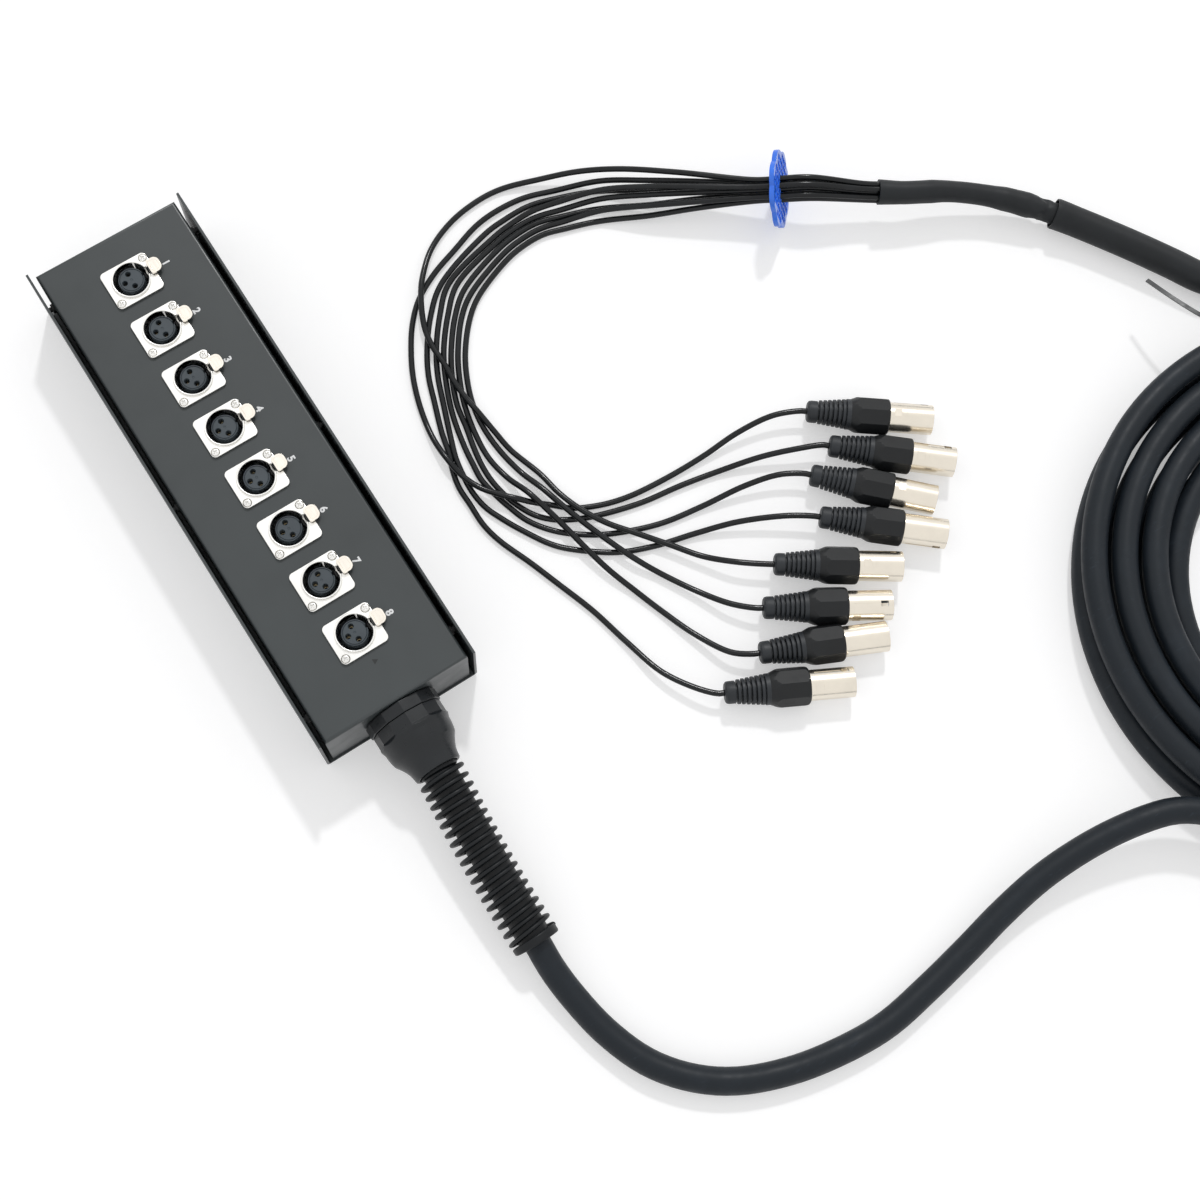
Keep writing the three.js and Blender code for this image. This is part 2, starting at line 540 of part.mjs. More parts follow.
// Tube of constant section along a curve
function tubeAlong(curve, diameter, sides, steps) {
  const section = new THREE.Shape();
  for (let j = 0; j < sides; j += 1) {
    const turn = (j + 0.5) / sides * 2 * Math.PI;
    section[j ? 'lineTo' : 'moveTo'](diameter / 2 * Math.cos(turn), diameter / 2 * Math.sin(turn));
  }
  const settings = { steps, bevelEnabled: false, extrudePath: curve };
  return closed(new THREE.ExtrudeGeometry(section, settings));
}

// Coil: spirals in on the floor, climbs where it turns round, and spirals out on top
function coilPoint(turned) {
  const half = coil.turns * Math.PI;
  const offset = turned - half;
  const climb = Math.PI / 2;
  const isClimbing = Math.abs(offset) < climb;
  const away = isClimbing ? offset * offset / (2 * climb) + climb / 2 : Math.abs(offset);
  const radius = coil.outerRadius - coil.pitch * (half - away) / (2 * Math.PI);
  const rise = THREE.MathUtils.smoothstep(offset, -climb, climb) * coil.layerRise;
  const angle = THREE.MathUtils.degToRad(coil.startAngle) - turned;
  const x = coil.centre.x + radius * Math.cos(angle);
  const y = coil.centre.y + radius * Math.sin(angle);
  return new THREE.Vector3(x, y, coil.firstHeight + rise);
}

const coilEnds = (() => {
  const whole = coil.turns * 2 * Math.PI;
  const small = Math.PI / 180;
  const start = coilPoint(0);
  const end = coilPoint(whole);
  const startWay = coilPoint(small).sub(start).normalize();
  const endWay = end.clone().sub(coilPoint(whole - small)).normalize();
  return { start, end, startWay, endWay };
})();

function leastGap(rings) {
  const nearest = new THREE.Vector3();
  const edge = new THREE.Line3();
  const box = new THREE.Box3();
  let least = Infinity;
  for (let i = 0; i + 1 < rings.length; i += 1) {
    box.setFromPoints([...rings[i], ...rings[i + 1]]).expandByScalar(coil.pitch);
    for (let k = 0; k < rings.length; k += 1) {
      if (Math.abs(i - k) < coil.stepsPerTurn / 2) continue;
      for (const point of rings[k].filter((p) => box.containsPoint(p))) {
        for (let j = 0; j < coil.sides; j += 1) {
          edge.set(rings[i][j], rings[i + 1][j]).closestPointToPoint(point, true, nearest);
          least = Math.min(least, nearest.distanceTo(point));
        }
      }
    }
  }
  return least;
}

function makeCoil() {
  const steps = Math.round(coil.turns * coil.stepsPerTurn);
  const radius = trunk.diameter / 2;
  const whole = coil.turns * 2 * Math.PI;
  const { start, end, startWay, endWay } = coilEnds;
  const first = start.clone().addScaledVector(startWay, -trunk.diameter);
  const rings = [ringAt(first, startWay, radius, coil.sides)];
  for (let i = 0; i <= steps; i += 1) {
    const turned = whole * i / steps;
    const small = Math.PI / 180;
    const way = coilPoint(Math.min(turned + small, whole)).sub(coilPoint(Math.max(turned - small, 0)));
    rings.push(ringAt(coilPoint(turned), way, radius, coil.sides));
  }
  const last = end.clone().addScaledVector(endWay, trunk.diameter);
  rings.push(ringAt(last, endWay, radius, coil.sides));
  console.log(`least gap of the coil to itself ${leastGap(rings).toFixed(2)} mm`);
  addMesh('trunk_coil', skin(rings, false), rubber);
}

// Lead from the gland to the coil
const leadStart = cover.halfLength - sheet - clearance - gland.nutLength;
const leadEnd = coilEnds.end.clone().addScaledVector(coilEnds.endWay, trunk.diameter + clearance);
const leadSquare = leadEnd.clone().addScaledVector(coilEnds.endWay, trunk.diameter);
const leadCurve = smoothCurve([
  new THREE.Vector3(leadStart, 0, gland.axisHeight),
  new THREE.Vector3(gland.seam, 0, gland.axisHeight),
  ...toPoints(leadPoints),
  leadSquare,
  leadEnd,
]);

function spread(from, to, count) {
  return Array.from({ length: count + 1 }, (_, i) => from + (to - from) * i / count);
}

function placeOn(curve, distance) {
  const share = THREE.MathUtils.clamp(distance / curve.getLength(), 0, 1);
  return { centre: curve.getPointAt(share), way: curve.getTangentAt(share) };
}

// Bend relief: ribs on a thin tube round the lead, seated in the mouth of the cap
function makeRelief() {
  const mouth = gland.mouthX - leadStart;
  const outer = [[mouth - relief.seatDepth, relief.shank], [mouth + relief.firstRib / 2, relief.shank]];
  for (let i = 0; i < relief.ribs; i += 1) {
    const crest = mouth + relief.firstRib + i * relief.pitch;
    outer.push([crest, relief.crest], [crest + relief.pitch / 2, relief.valley]);
  }
  const ringStart = mouth + relief.firstRib + relief.ribs * relief.pitch;
  outer.push([ringStart, relief.crest], [ringStart + relief.endRing, relief.crest]);
  const first = outer[0][0];
  const last = ringStart + relief.endRing;
  const boreRings = Math.ceil(relief.ribs / relief.ribsPerBoreRing) + 1;
  const inner = spread(last, first, boreRings).map((distance) => [distance, relief.bore]);
  const rings = [...outer, ...inner].map(([distance, diameter]) => {
    const { centre, way } = placeOn(leadCurve, distance);
    return ringAt(centre, way, diameter / 2, relief.sides);
  });
  addMesh('bend_relief', skin(rings, true), glandBlack);
}

// Tail from the coil to the sleeves
const tailStart = coilEnds.start.clone().addScaledVector(coilEnds.startWay, -trunk.diameter - clearance);
const tailSquare = tailStart.clone().addScaledVector(coilEnds.startWay, -trunk.diameter);
const tailCurve = smoothCurve([tailStart, tailSquare, ...toPoints(tailPoints)]);

// Stretch of a curve between two distances from its start
class Stretch extends THREE.Curve {
  constructor(whole, from, to) {
    super();
    this.whole = whole;
    this.from = from / whole.getLength();
    this.to = Math.min(to / whole.getLength(), 1);
  }

  getPoint(share, target = new THREE.Vector3()) {
    return target.copy(this.whole.getPointAt(THREE.MathUtils.lerp(this.from, this.to, share)));
  }
}

function hollowTube(name, outer, inner, curve, sides, material) {
  const rings = [...outer, ...inner.reverse()].map(([distance, diameter]) => {
    const { centre, way } = placeOn(curve, distance);
    return ringAt(centre, way, diameter / 2, sides);
  });
  addMesh(name, skin(rings, true), material);
}

function makeSleeves() {
  const whole = tailCurve.getLength();
  const { largeStart, largeEnd, neckLength, smallStart } = sleeve;
  const largeStops = spread(largeStart, largeEnd - neckLength, sleeve.largeRings);
  const largeOuter = [...largeStops.map((s) => [s, sleeve.largeOuter]), [largeEnd, sleeve.neckOuter]];
  const largeInner = [...largeStops, largeEnd].map((s) => [s, sleeve.largeBore]);
  hollowTube('large_shrink_sleeve', largeOuter, largeInner, tailCurve, sleeve.sides, shrinkTube);
  const smallStops = spread(smallStart, whole, sleeve.smallRings);
  const smallOuter = smallStops.map((s) => [s, sleeve.smallOuter]);
  const smallInner = smallStops.map((s) => [s, sleeve.smallBore]);
  hollowTube('small_shrink_sleeve', smallOuter, smallInner, tailCurve, sleeve.sides, shrinkTube);
}

// Comb: lobed disc with a lattice of square holes, standing on its rim
function combHeight() {
  const lean = THREE.MathUtils.degToRad(comb.leanDegrees);
  return comb.diameter / 2 * Math.cos(lean) + comb.thick / 2 * Math.sin(lean);
}

function makeComb() {
  const outline = new THREE.Shape();
  for (let i = 0; i < comb.outlinePoints; i += 1) {
    const turn = i / comb.outlinePoints * 2 * Math.PI;
    const radius = comb.diameter / 2 - comb.lobeDepth * (1 - Math.abs(Math.sin(comb.lobes / 2 * turn)));
    outline[i ? 'lineTo' : 'moveTo'](radius * Math.cos(turn), radius * Math.sin(turn));
  }
  const disc = new THREE.ExtrudeGeometry(outline, { depth: comb.thick, bevelEnabled: false });
  let solid = toSolid(disc.translate(0, 0, -comb.thick / 2));
  const reach = Math.floor(comb.latticeRadius / comb.pitch);
  for (let row = -reach; row <= reach; row += 1) {
    for (let column = -reach; column <= reach; column += 1) {
      const [x, y] = [column * comb.pitch, row * comb.pitch];
      if (Math.hypot(x, y) > comb.latticeRadius) continue;
      const hole = new THREE.BoxGeometry(comb.hole, comb.hole, comb.thick + 2 * overrun);
      solid = solid.subtract(toSolid(hole.translate(x, y, 0)));
    }
  }
  const mesh = addMesh('cable_comb', toGeometry(solid), combBlue);
  const lean = THREE.MathUtils.degToRad(comb.leanDegrees);
  const toward = comb.across.clone().cross(new THREE.Vector3(0, 0, 1)).negate().normalize();
  const up = new THREE.Vector3(0, 0, Math.cos(lean)).addScaledVector(toward, Math.sin(lean));
  const face = comb.across.clone().cross(up);
  mesh.setRotationFromMatrix(new THREE.Matrix4().makeBasis(comb.across, up, face));
  mesh.position.set(comb.place.x, comb.place.y, combHeight());
}

// Tie: flat band round the coil's section, a square head and a loose end
function makeTie() {
  const angle = THREE.MathUtils.degToRad(tie.angle);
  const radial = new THREE.Vector3(Math.cos(angle), Math.sin(angle), 0);
  const up = new THREE.Vector3(0, 0, 1);
  const centre = new THREE.Vector3(coil.centre.x, coil.centre.y, 0);
  const cordRadius = trunk.diameter / 2;
  const inner = coil.outerRadius - coil.pitch * coil.turns / 2 - cordRadius - tie.slack;
  const outer = coil.outerRadius + cordRadius - coil.pitch / 2 + tie.slack;
  const bottom = coil.floorGap - clearance;
  const top = coil.firstHeight + coil.layerRise + cordRadius + tie.slack;
  const band = new THREE.Shape();
  const draw = (path, grow) => {
    const [halfX, halfY] = [(outer - inner) / 2 + grow, (top - bottom) / 2 + grow];
    const rectangle = roundedRectangle(halfX, halfY, tie.corner + grow).getPoints(tie.cornerSteps);
    path.setFromPoints(rectangle);
  };
  draw(band, tie.thick);
  const hollow = new THREE.Path();
  draw(hollow, 0);
  band.holes.push(hollow);
  const ring = new THREE.ExtrudeGeometry(band, { depth: tie.width, bevelEnabled: false });
  ring.translate((outer + inner) / 2, (top + bottom) / 2, -tie.width / 2);
  const head = new THREE.BoxGeometry(tie.head, tie.headThick, tie.head);
  head.translate(outer - tie.head, top + tie.headThick / 2, 0);
  const frame = new THREE.Matrix4().makeBasis(radial, up, radial.clone().cross(up));
  frame.setPosition(centre);
  ring.applyMatrix4(frame);
  head.applyMatrix4(frame);
  const headMiddle = new THREE.Vector3(outer - tie.head, top + tie.headThick / 2, 0).applyMatrix4(frame);
  const path = smoothCurve([headMiddle, ...toPoints(tieTailPoints)]);
  const rings = Array.from({ length: tie.tailSteps + 1 }, (_, i) => {
    const { centre: middle, way } = placeOn(path, path.getLength() * i / tie.tailSteps);
    const side = up.clone().cross(way).normalize().multiplyScalar(tie.tailWidth / 2);
    const lift = way.clone().cross(side).normalize().multiplyScalar(tie.thick / 2);
    const corners = [[1, -1], [1, 1], [-1, 1], [-1, -1]];
    return corners.map(([a, b]) => {
      return middle.clone().addScaledVector(side, a).addScaledVector(lift, b);
    });
  });
  const solid = unite(ring, head, skin(rings, false));
  addMesh('coil_tie', toGeometry(solid), tieBlack);
}

// Plug body: ribbed boot, eight-sided grip, and the core that carries the pins
function bootProfile() {
  const ribsEnd = plug.bootLength - plug.collarLength;
  const step = (ribsEnd - plug.tipLength) / plug.ribs;
  const tip = plug.tip / 2;
  const profile = [[0, 0], [plug.tipEnd / 2, 0], [tip, plug.tipLead], [tip, plug.tipLength]];
  for (let i = 0; i < plug.ribs; i += 1) {
    const crest = THREE.MathUtils.lerp(plug.firstCrest, plug.lastCrest, i / (plug.ribs - 1)) / 2;
    const along = plug.tipLength + i * step;
    profile.push([crest - plug.groove / 2, along + step / 4], [crest, along + step]);
  }
  profile.push([plug.collar / 2, ribsEnd + step / 4], [plug.collar / 2, plug.bootLength + overrun]);
  profile.push([0, plug.bootLength + overrun]);
  return profile;
}

function plugBody() {
  const gripStart = plug.bootLength;
  const gripEnd = gripStart + plug.gripLength;
  const face = plug.length - plug.cavity;
  const corner = plug.gripAcross / 2 / Math.cos(Math.PI / plug.gripSides);
  const { gripChamfer } = plug;
  const gripProfile = [
    [0, gripStart], [corner - gripChamfer, gripStart], [corner, gripStart + gripChamfer],
    [corner, gripEnd - gripChamfer], [corner - gripChamfer, gripEnd], [0, gripEnd],
  ];
  const coreRadius = plug.shellInner / 2 - clearance;
  const core = [[0, gripEnd - overrun], [coreRadius, gripEnd - overrun], [coreRadius, face], [0, face]];
  const pieces = [
    turned(bootProfile(), plug.bootSides),
    turned(gripProfile, plug.gripSides, Math.PI / plug.gripSides),
    turned(core, plug.coreSides),
  ];
  for (const [x, z] of [[-1, 0], [1, 0], [0, -1]]) {
    const length = contact.pinLength + overrun;
    const pin = new THREE.CylinderGeometry(contact.pin / 2, contact.pin / 2, length, contact.sides);
    pieces.push(pin.translate(x * contact.circle, face - overrun + length / 2, z * contact.circle));
  }
  return toGeometry(unite(...pieces));
}

function plugShell() {
  const start = plug.bootLength + plug.gripLength + clearance;
  const [outer, inner, end] = [plug.shellOuter / 2, plug.shellInner / 2, plug.length];
  const wall = [[inner, start], [outer, start], [outer, end], [inner, end], [inner, start]];
  const tube = turned(wall, plug.shellSides);
  const windowEnd = end - plug.windowInset;
  const window = boxBetween(
    [-plug.windowWidth / 2, windowEnd - plug.windowLength, 0],
    [plug.windowWidth / 2, windowEnd, outer + overrun],
  );
  return toGeometry(toSolid(tube).subtract(toSolid(window)));
}

function makePlug(index) {
  const lay = plugLays[index];
  const start = new THREE.Vector3(...lay.start, 0);
  const along = new THREE.Vector3(...lay.toward, 0).sub(start).normalize();
  const up = new THREE.Vector3(0, 0, 1);
  const group = new THREE.Group();
  group.setRotationFromMatrix(new THREE.Matrix4().makeBasis(along.clone().cross(up), along, up));
  group.position.set(...lay.start, plug.axisHeight);
  model.add(group);
  addMesh(`plug_body_${index + 1}`, plugBody(), plugBlack, group);
  addMesh(`plug_shell_${index + 1}`, plugShell(), shellMetal, group);
  return along;
}

function makeCord(index, along) {
  const start = new THREE.Vector3(...plugLays[index].start, plug.axisHeight);
  const points = toPoints(cordPoints[index]);
  points.push(start.clone().addScaledVector(along, -cord.straight));
  points.push(start.clone().addScaledVector(along, -clearance));
  const curve = smoothCurve(points);
  console.log(`fan-out cord ${index + 1} ${curve.getLength().toFixed(0)} mm`);
  const tube = tubeAlong(curve, cord.diameter, cord.sides, cord.steps);
  addMesh(`fanout_cord_${index + 1}`, tube, plugBlack);
}

makeTray();
makeCover();
for (let i = 0; i < channelCount; i += 1) {
  makeFlange(i);
  makeInsert(i);
  makeTab(i);
}
makeGland();
const lead = tubeAlong(leadCurve, trunk.diameter, trunk.sides, trunk.leadSteps);
addMesh('trunk_lead', lead, rubber);
makeRelief();
makeCoil();
const jacket = new Stretch(tailCurve, 0, sleeve.jacketEnd);
addMesh('trunk_tail', tubeAlong(jacket, trunk.diameter, trunk.sides, trunk.tailSteps), rubber);
makeSleeves();
makeComb();
makeTie();
for (let i = 0; i < channelCount; i += 1) {
  makeCord(i, makePlug(i));
}
console.log(`lead ${leadCurve.getLength().toFixed(0)} mm`);
console.log(`tail to the sleeve end ${tailCurve.getLength().toFixed(0)} mm`);

export default model;
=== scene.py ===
"""Stage box snake: sheet box with eight panel sockets, coiled trunk cable, eight cords with plugs."""

import math

import bpy
from mathutils import Matrix, Vector, noise


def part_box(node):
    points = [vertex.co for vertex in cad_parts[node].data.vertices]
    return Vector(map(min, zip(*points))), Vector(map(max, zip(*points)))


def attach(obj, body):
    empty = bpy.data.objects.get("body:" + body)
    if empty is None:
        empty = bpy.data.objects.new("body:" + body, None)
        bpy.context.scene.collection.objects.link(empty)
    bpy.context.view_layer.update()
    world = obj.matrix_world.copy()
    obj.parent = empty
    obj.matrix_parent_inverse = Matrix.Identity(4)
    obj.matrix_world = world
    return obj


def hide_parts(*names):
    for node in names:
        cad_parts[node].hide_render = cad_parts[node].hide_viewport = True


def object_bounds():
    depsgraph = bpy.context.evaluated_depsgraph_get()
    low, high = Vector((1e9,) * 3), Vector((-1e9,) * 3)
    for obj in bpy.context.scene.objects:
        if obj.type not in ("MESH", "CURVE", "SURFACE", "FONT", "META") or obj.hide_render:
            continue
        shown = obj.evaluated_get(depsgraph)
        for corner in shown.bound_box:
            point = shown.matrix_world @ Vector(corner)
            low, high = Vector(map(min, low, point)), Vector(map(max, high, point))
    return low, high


bl_info = {
    "name": "Stage box snake",
    "version": (1, 0, 0),
    "blender": (4, 5, 0),
    "location": "View3D > Sidebar > Snake",
    "description": "Models and finishes a stage box snake on its packed frame",
    "category": "Object",
}

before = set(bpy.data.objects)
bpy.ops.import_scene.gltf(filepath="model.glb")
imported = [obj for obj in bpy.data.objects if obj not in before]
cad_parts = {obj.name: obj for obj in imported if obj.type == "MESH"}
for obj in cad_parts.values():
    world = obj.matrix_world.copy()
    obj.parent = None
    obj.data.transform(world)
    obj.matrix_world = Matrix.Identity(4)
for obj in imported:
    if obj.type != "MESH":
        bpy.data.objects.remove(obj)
cad_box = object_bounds()
tray_low, tray_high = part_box("base_tray")
ORIGIN = Vector(((tray_low.x + tray_high.x) / 2, (tray_low.y + tray_high.y) / 2, tray_low.z))
MM = 0.001
UP = Vector((0, 0, 1))
CHANNELS = 8


def at(x, y, z):
    """A place in the part's own millimetres, in metres in the frame."""
    return ORIGIN + Vector((x, y, z)) * MM


# ---------------------------------------------------------------- sizes and colours


def length(label, about, default):
    return bpy.props.FloatProperty(
        name=label, description=about, default=default, min=0, precision=5, unit="LENGTH",
        subtype="DISTANCE",
    )


def colour(label, about, default):
    return bpy.props.FloatVectorProperty(
        name=label, description=about, default=default, size=3, min=0, max=1, subtype="COLOR"
    )


class SNAKE_Sizes(bpy.types.PropertyGroup):
    """Sizes of the pieces that a user would change."""

    trunk: length("Trunk diameter", "Outside diameter of the multicore", 0.0163)
    cord: length("Cord diameter", "Outside diameter of a fan-out cord", 0.0038)
    digit: length("Digit height", "Height of the channel digits", 0.004)
    thread: length("Relief pitch", "Distance from one turn of the bend relief to the next", 0.006)


class SNAKE_Finishes(bpy.types.PropertyGroup):
    """Colours of the finishes."""

    paint: colour("Box paint", "Satin black powder coat", (0.033, 0.040, 0.042))
    nickel: colour("Socket nickel", "Satin nickel of the socket plates", (0.92, 0.91, 0.88))
    tab: colour("Tab nickel", "Warm satin nickel of the push tabs", (0.93, 0.87, 0.78))
    shell: colour("Plug nickel", "Warm satin nickel of the plug shells", (0.80, 0.74, 0.64))
    slate: colour("Insert slate", "Blue-grey plastic of the contact inserts", (0.044, 0.056, 0.066))
    gland: colour("Gland black", "Black nylon of the gland", (0.010, 0.012, 0.014))
    jacket: colour("Trunk jacket", "Bluish black rubber of the multicore", (0.010, 0.014, 0.019))
    shrink: colour("Shrink tube", "Matte black heat-shrink", (0.012, 0.014, 0.016))
    comb: colour("Comb blue", "Bright blue plastic of the comb", (0.035, 0.185, 0.92))
    cord: colour("Cord black", "Glossy black skin of the fan-out cords", (0.006, 0.007, 0.008))
    plug: colour("Plug black", "Matte black plastic of the plug bodies", (0.009, 0.010, 0.011))
    boot: colour("Boot grey", "Soft rubber of the plug boots", (0.016, 0.019, 0.023))
    ink: colour("Digit ink", "White screen print", (0.86, 0.87, 0.88))


# ---------------------------------------------------------------- materials


class Value:
    """A shader value. An expression on it adds its Math nodes."""

    def __init__(self, finish, socket):
        self.finish = finish
        self.socket = socket

    def _math(self, operation, first, second):
        node = self.finish.node("ShaderNodeMath", {"operation": operation}, {0: first, 1: second})
        return Value(self.finish, node.outputs[0])

    def __add__(self, other):
        return self._math("ADD", self, other)

    def __mul__(self, other):
        return self._math("MULTIPLY", self, other)


class Finish:
    """One procedural material on a Principled shader."""

    def __init__(self, name, **constants):
        self.material = bpy.data.materials.new(name)
        self.material.use_nodes = True
        self.tree = self.material.node_tree
        self.shader = self.tree.nodes["Principled BSDF"]
        for socket, value in constants.items():
            self.shader.inputs[socket.replace("_", " ")].default_value = value

    def node(self, kind, settings=None, inputs=None):
        made = self.tree.nodes.new(kind)
        for key, value in (settings or {}).items():
            setattr(made, key, value)
        for key, value in (inputs or {}).items():
            self._feed(made.inputs[key], value)
        return made

    def _feed(self, socket, value):
        if isinstance(value, Value):
            value = value.socket
        if isinstance(value, bpy.types.NodeSocket):
            self.tree.links.new(value, socket)
        elif socket.type == "RGBA":
            socket.default_value = (*value, 1)
        else:
            socket.default_value = value

    def place(self):
        return self.node("ShaderNodeTexCoord").outputs["Object"]

    def stretched(self, scale, turn=0.0):
        settings = {0: self.place(), "Scale": scale, "Rotation": (0, 0, turn)}
        return self.node("ShaderNodeMapping", None, settings).outputs[0]

    def attribute(self, name):
        return Value(self, self.node("ShaderNodeAttribute", {"attribute_name": name}).outputs["Fac"])

    def cloud(self, scale, detail=3.0, roughness=0.55, vector=None):
        inputs = {"Vector": vector or self.place(), "Scale": scale, "Detail": detail}
        inputs["Roughness"] = roughness
        return Value(self, self.node("ShaderNodeTexNoise", None, inputs).outputs[0])

    def cells(self, scale):
        inputs = {"Vector": self.place(), "Scale": scale}
        return Value(self, self.node("ShaderNodeTexVoronoi", None, inputs).outputs["Distance"])

    def between(self, value, low=0.3, high=0.7, start=0.0, end=1.0):
        """The value's stretch from low to high, drawn out from start to end."""
        inputs = {0: value, 1: low, 2: high, 3: start, 4: end}
        return Value(self, self.node("ShaderNodeMapRange", {"clamp": True}, inputs).outputs[0])

    def spread(self, value, start, end):
        return self.between(value, start=start, end=end)

    def mixed(self, share, first, second):
        made = self.node("ShaderNodeMix", {"data_type": "RGBA"}, {0: share, 6: first, 7: second})
        return made.outputs[2]

    def feed(self, **sockets):
        for name, value in sockets.items():
            self._feed(self.shader.inputs[name.replace("_", " ")], value)
        return self

    def bump(self, height, distance, strength=1.0):
        inputs = {"Height": height, "Distance": distance, "Strength": strength}
        self.feed(Normal=self.node("ShaderNodeBump", None, inputs).outputs[0])
        return self


def shade(tint, factor):
    return tuple(min(1.0, channel * factor) for channel in tint)


def painted_sheet(tint):
    made = Finish("powder_coat", IOR=1.5, Coat_Weight=0.12, Coat_Roughness=0.22)
    grain = made.cells(2600)
    drift = made.between(made.cloud(9, 2))
    made.feed(Base_Color=made.mixed(drift, shade(tint, 0.88), shade(tint, 1.15)))
    made.feed(Roughness=made.between(made.cloud(60), 0.35, 0.7, 0.36, 0.47))
    return made.bump(grain, 0.00002, 0.5).material


def satin_nickel(name, tint, low, high):
    made = Finish(name, Metallic=1.0)
    brushed = made.cloud(1, 4, 0.6, made.stretched((90, 1500, 400)))
    drift = made.between(made.cloud(55))
    made.feed(Base_Color=made.mixed(drift, shade(tint, 0.93), shade(tint, 1.04)))
    made.feed(Roughness=made.spread(brushed, low, high))
    return made.bump(brushed, 0.00001, 0.35).material


def turned_nickel(tint):
    made = Finish("turned_nickel", Metallic=1.0)
    inputs = {"W": made.attribute("along"), "Scale": 2600, "Detail": 3}
    rings = made.node("ShaderNodeTexNoise", {"noise_dimensions": "1D"}, inputs)
    lines = Value(made, rings.outputs[0])
    drift = made.between(made.cloud(70))
    made.feed(Base_Color=made.mixed(drift, shade(tint, 0.96), shade(tint, 1.03)))
    made.feed(Roughness=made.spread(lines, 0.2, 0.26))
    return made.bump(lines, 0.000001, 0.2).material


def moulded(name, tint, roughness, grain=1800, depth=0.00002, gloss=0.3):
    made = Finish(name, Specular_IOR_Level=gloss)
    drift = made.between(made.cloud(40))
    made.feed(Base_Color=made.mixed(drift, shade(tint, 0.85), shade(tint, 1.2)))
    made.feed(Roughness=made.spread(made.cloud(180), roughness - 0.06, roughness + 0.06))
    return made.bump(made.cells(grain), depth, 0.5).material


def rubber_jacket(tint):
    made = Finish("trunk_jacket", Specular_IOR_Level=0.26)
    dust = made.between(made.cloud(26, 5, 0.65), 0.52, 0.74)
    scuffs = made.between(made.cloud(1, 5, 0.7, made.stretched((420, 90, 260), 0.6)), 0.6, 0.72)
    dusty = made.mixed(dust * 0.5, tint, shade(tint, 1.9))
    made.feed(Base_Color=made.mixed(scuffs * 0.35, dusty, shade(tint, 3.2)))
    made.feed(Roughness=made.spread(made.cloud(120), 0.42, 0.56))
    return made.bump(made.cloud(900, 3) + made.cells(2400) * 0.3, 0.00003, 0.5).material


def glossy_cord(tint):
    made = Finish("cord_skin", Specular_IOR_Level=0.3)
    worn = made.between(made.cloud(60), 0.4, 0.7)
    made.feed(Base_Color=made.mixed(worn, tint, shade(tint, 1.7)))
    made.feed(Roughness=made.spread(made.cloud(300), 0.16, 0.24))
    return made.bump(made.cloud(600, 2), 0.000003, 0.3).material


def printed_ink(tint):
    made = Finish("print_ink")
    speckle = made.between(made.cloud(1500, 2), 0.3, 0.62)
    made.feed(Base_Color=made.mixed(speckle, shade(tint, 0.82), tint))
    made.feed(Roughness=made.spread(made.cloud(900), 0.5, 0.62))
    return made.material


def gilded(tint):
    made = Finish("contact_metal", Metallic=1.0)
    made.feed(Base_Color=made.mixed(made.cloud(400), shade(tint, 0.8), tint))
    made.feed(Roughness=made.spread(made.cloud(700), 0.22, 0.38))
    return made.material


FINISHES = {}


def make_finishes(tints):
    FINISHES.update(
        paint=painted_sheet(tints.paint),
        nickel=satin_nickel("socket_nickel", tints.nickel, 0.26, 0.36),
        tab=satin_nickel("tab_nickel", tints.tab, 0.2, 0.3),
        screw=satin_nickel("screw_nickel", shade(tints.nickel, 0.9), 0.24, 0.34),
        shell=turned_nickel(tints.shell),
        slate=moulded("insert_slate", tints.slate, 0.5, gloss=0.45),
        gland=moulded("gland_nylon", tints.gland, 0.32, 1200, 0.00003, 0.36),
        relief=moulded("relief_rubber", shade(tints.gland, 0.7), 0.42, 1500, 0.00003, 0.26),
        jacket=rubber_jacket(tints.jacket),
        shrink=moulded("shrink_tube", tints.shrink, 0.5, 900, 0.00004, 0.28),
        comb=moulded("comb_plastic", tints.comb, 0.18, 1500, 0.000003, 0.5),
        tie=moulded("tie_nylon", tints.gland, 0.36, 2200, 0.00001, 0.4),
        cord=glossy_cord(tints.cord),
        plug=moulded("plug_plastic", tints.plug, 0.42, 3000, 0.00002, 0.32),
        boot=moulded("boot_rubber", tints.boot, 0.5, 2600, 0.00002, 0.42),
        ink=printed_ink(tints.ink),
        mark=printed_ink(shade(tints.paint, 0.25)),
        contact=gilded((0.75, 0.62, 0.38)),
    )


def wear(piece, *finishes):
    """Gives a piece its finishes, in the order of its material slots."""
    piece.data.materials.clear()
    for finish in finishes:
        piece.data.materials.append(FINISHES[finish])
    return piece


# ---------------------------------------------------------------- curves


def smooth_line(points, step):
    """Centripetal curve through the points, at least two new points to each step, in millimetres."""
    ends = [points[0] * 2 - points[1], *points, points[-1] * 2 - points[-2]]
    fine = [points[0]]
    for a, b, c, d in zip(ends, ends[1:], ends[2:], ends[3:]):
        ab, bc, cd = (math.sqrt((q - p).length) for p, q in ((a, b), (b, c), (c, d)))
        start = ((b - a) / ab - (c - a) / (ab + bc) + (c - b) / bc) * bc
        end = ((c - b) / bc - (d - b) / (bc + cd) + (d - c) / cd) * bc
        second = (c - b) * 3 - start * 2 - end
        third = (b - c) * 2 + start + end
        count = max(4, int((c - b).length / step * 2))
        for i in range(1, count + 1):
            t = i / count
            fine.append(b + start * t + second * (t * t) + third * (t * t * t))
    return fine


def line_length(points):
    return sum((b - a).length for a, b in zip(points, points[1:]))


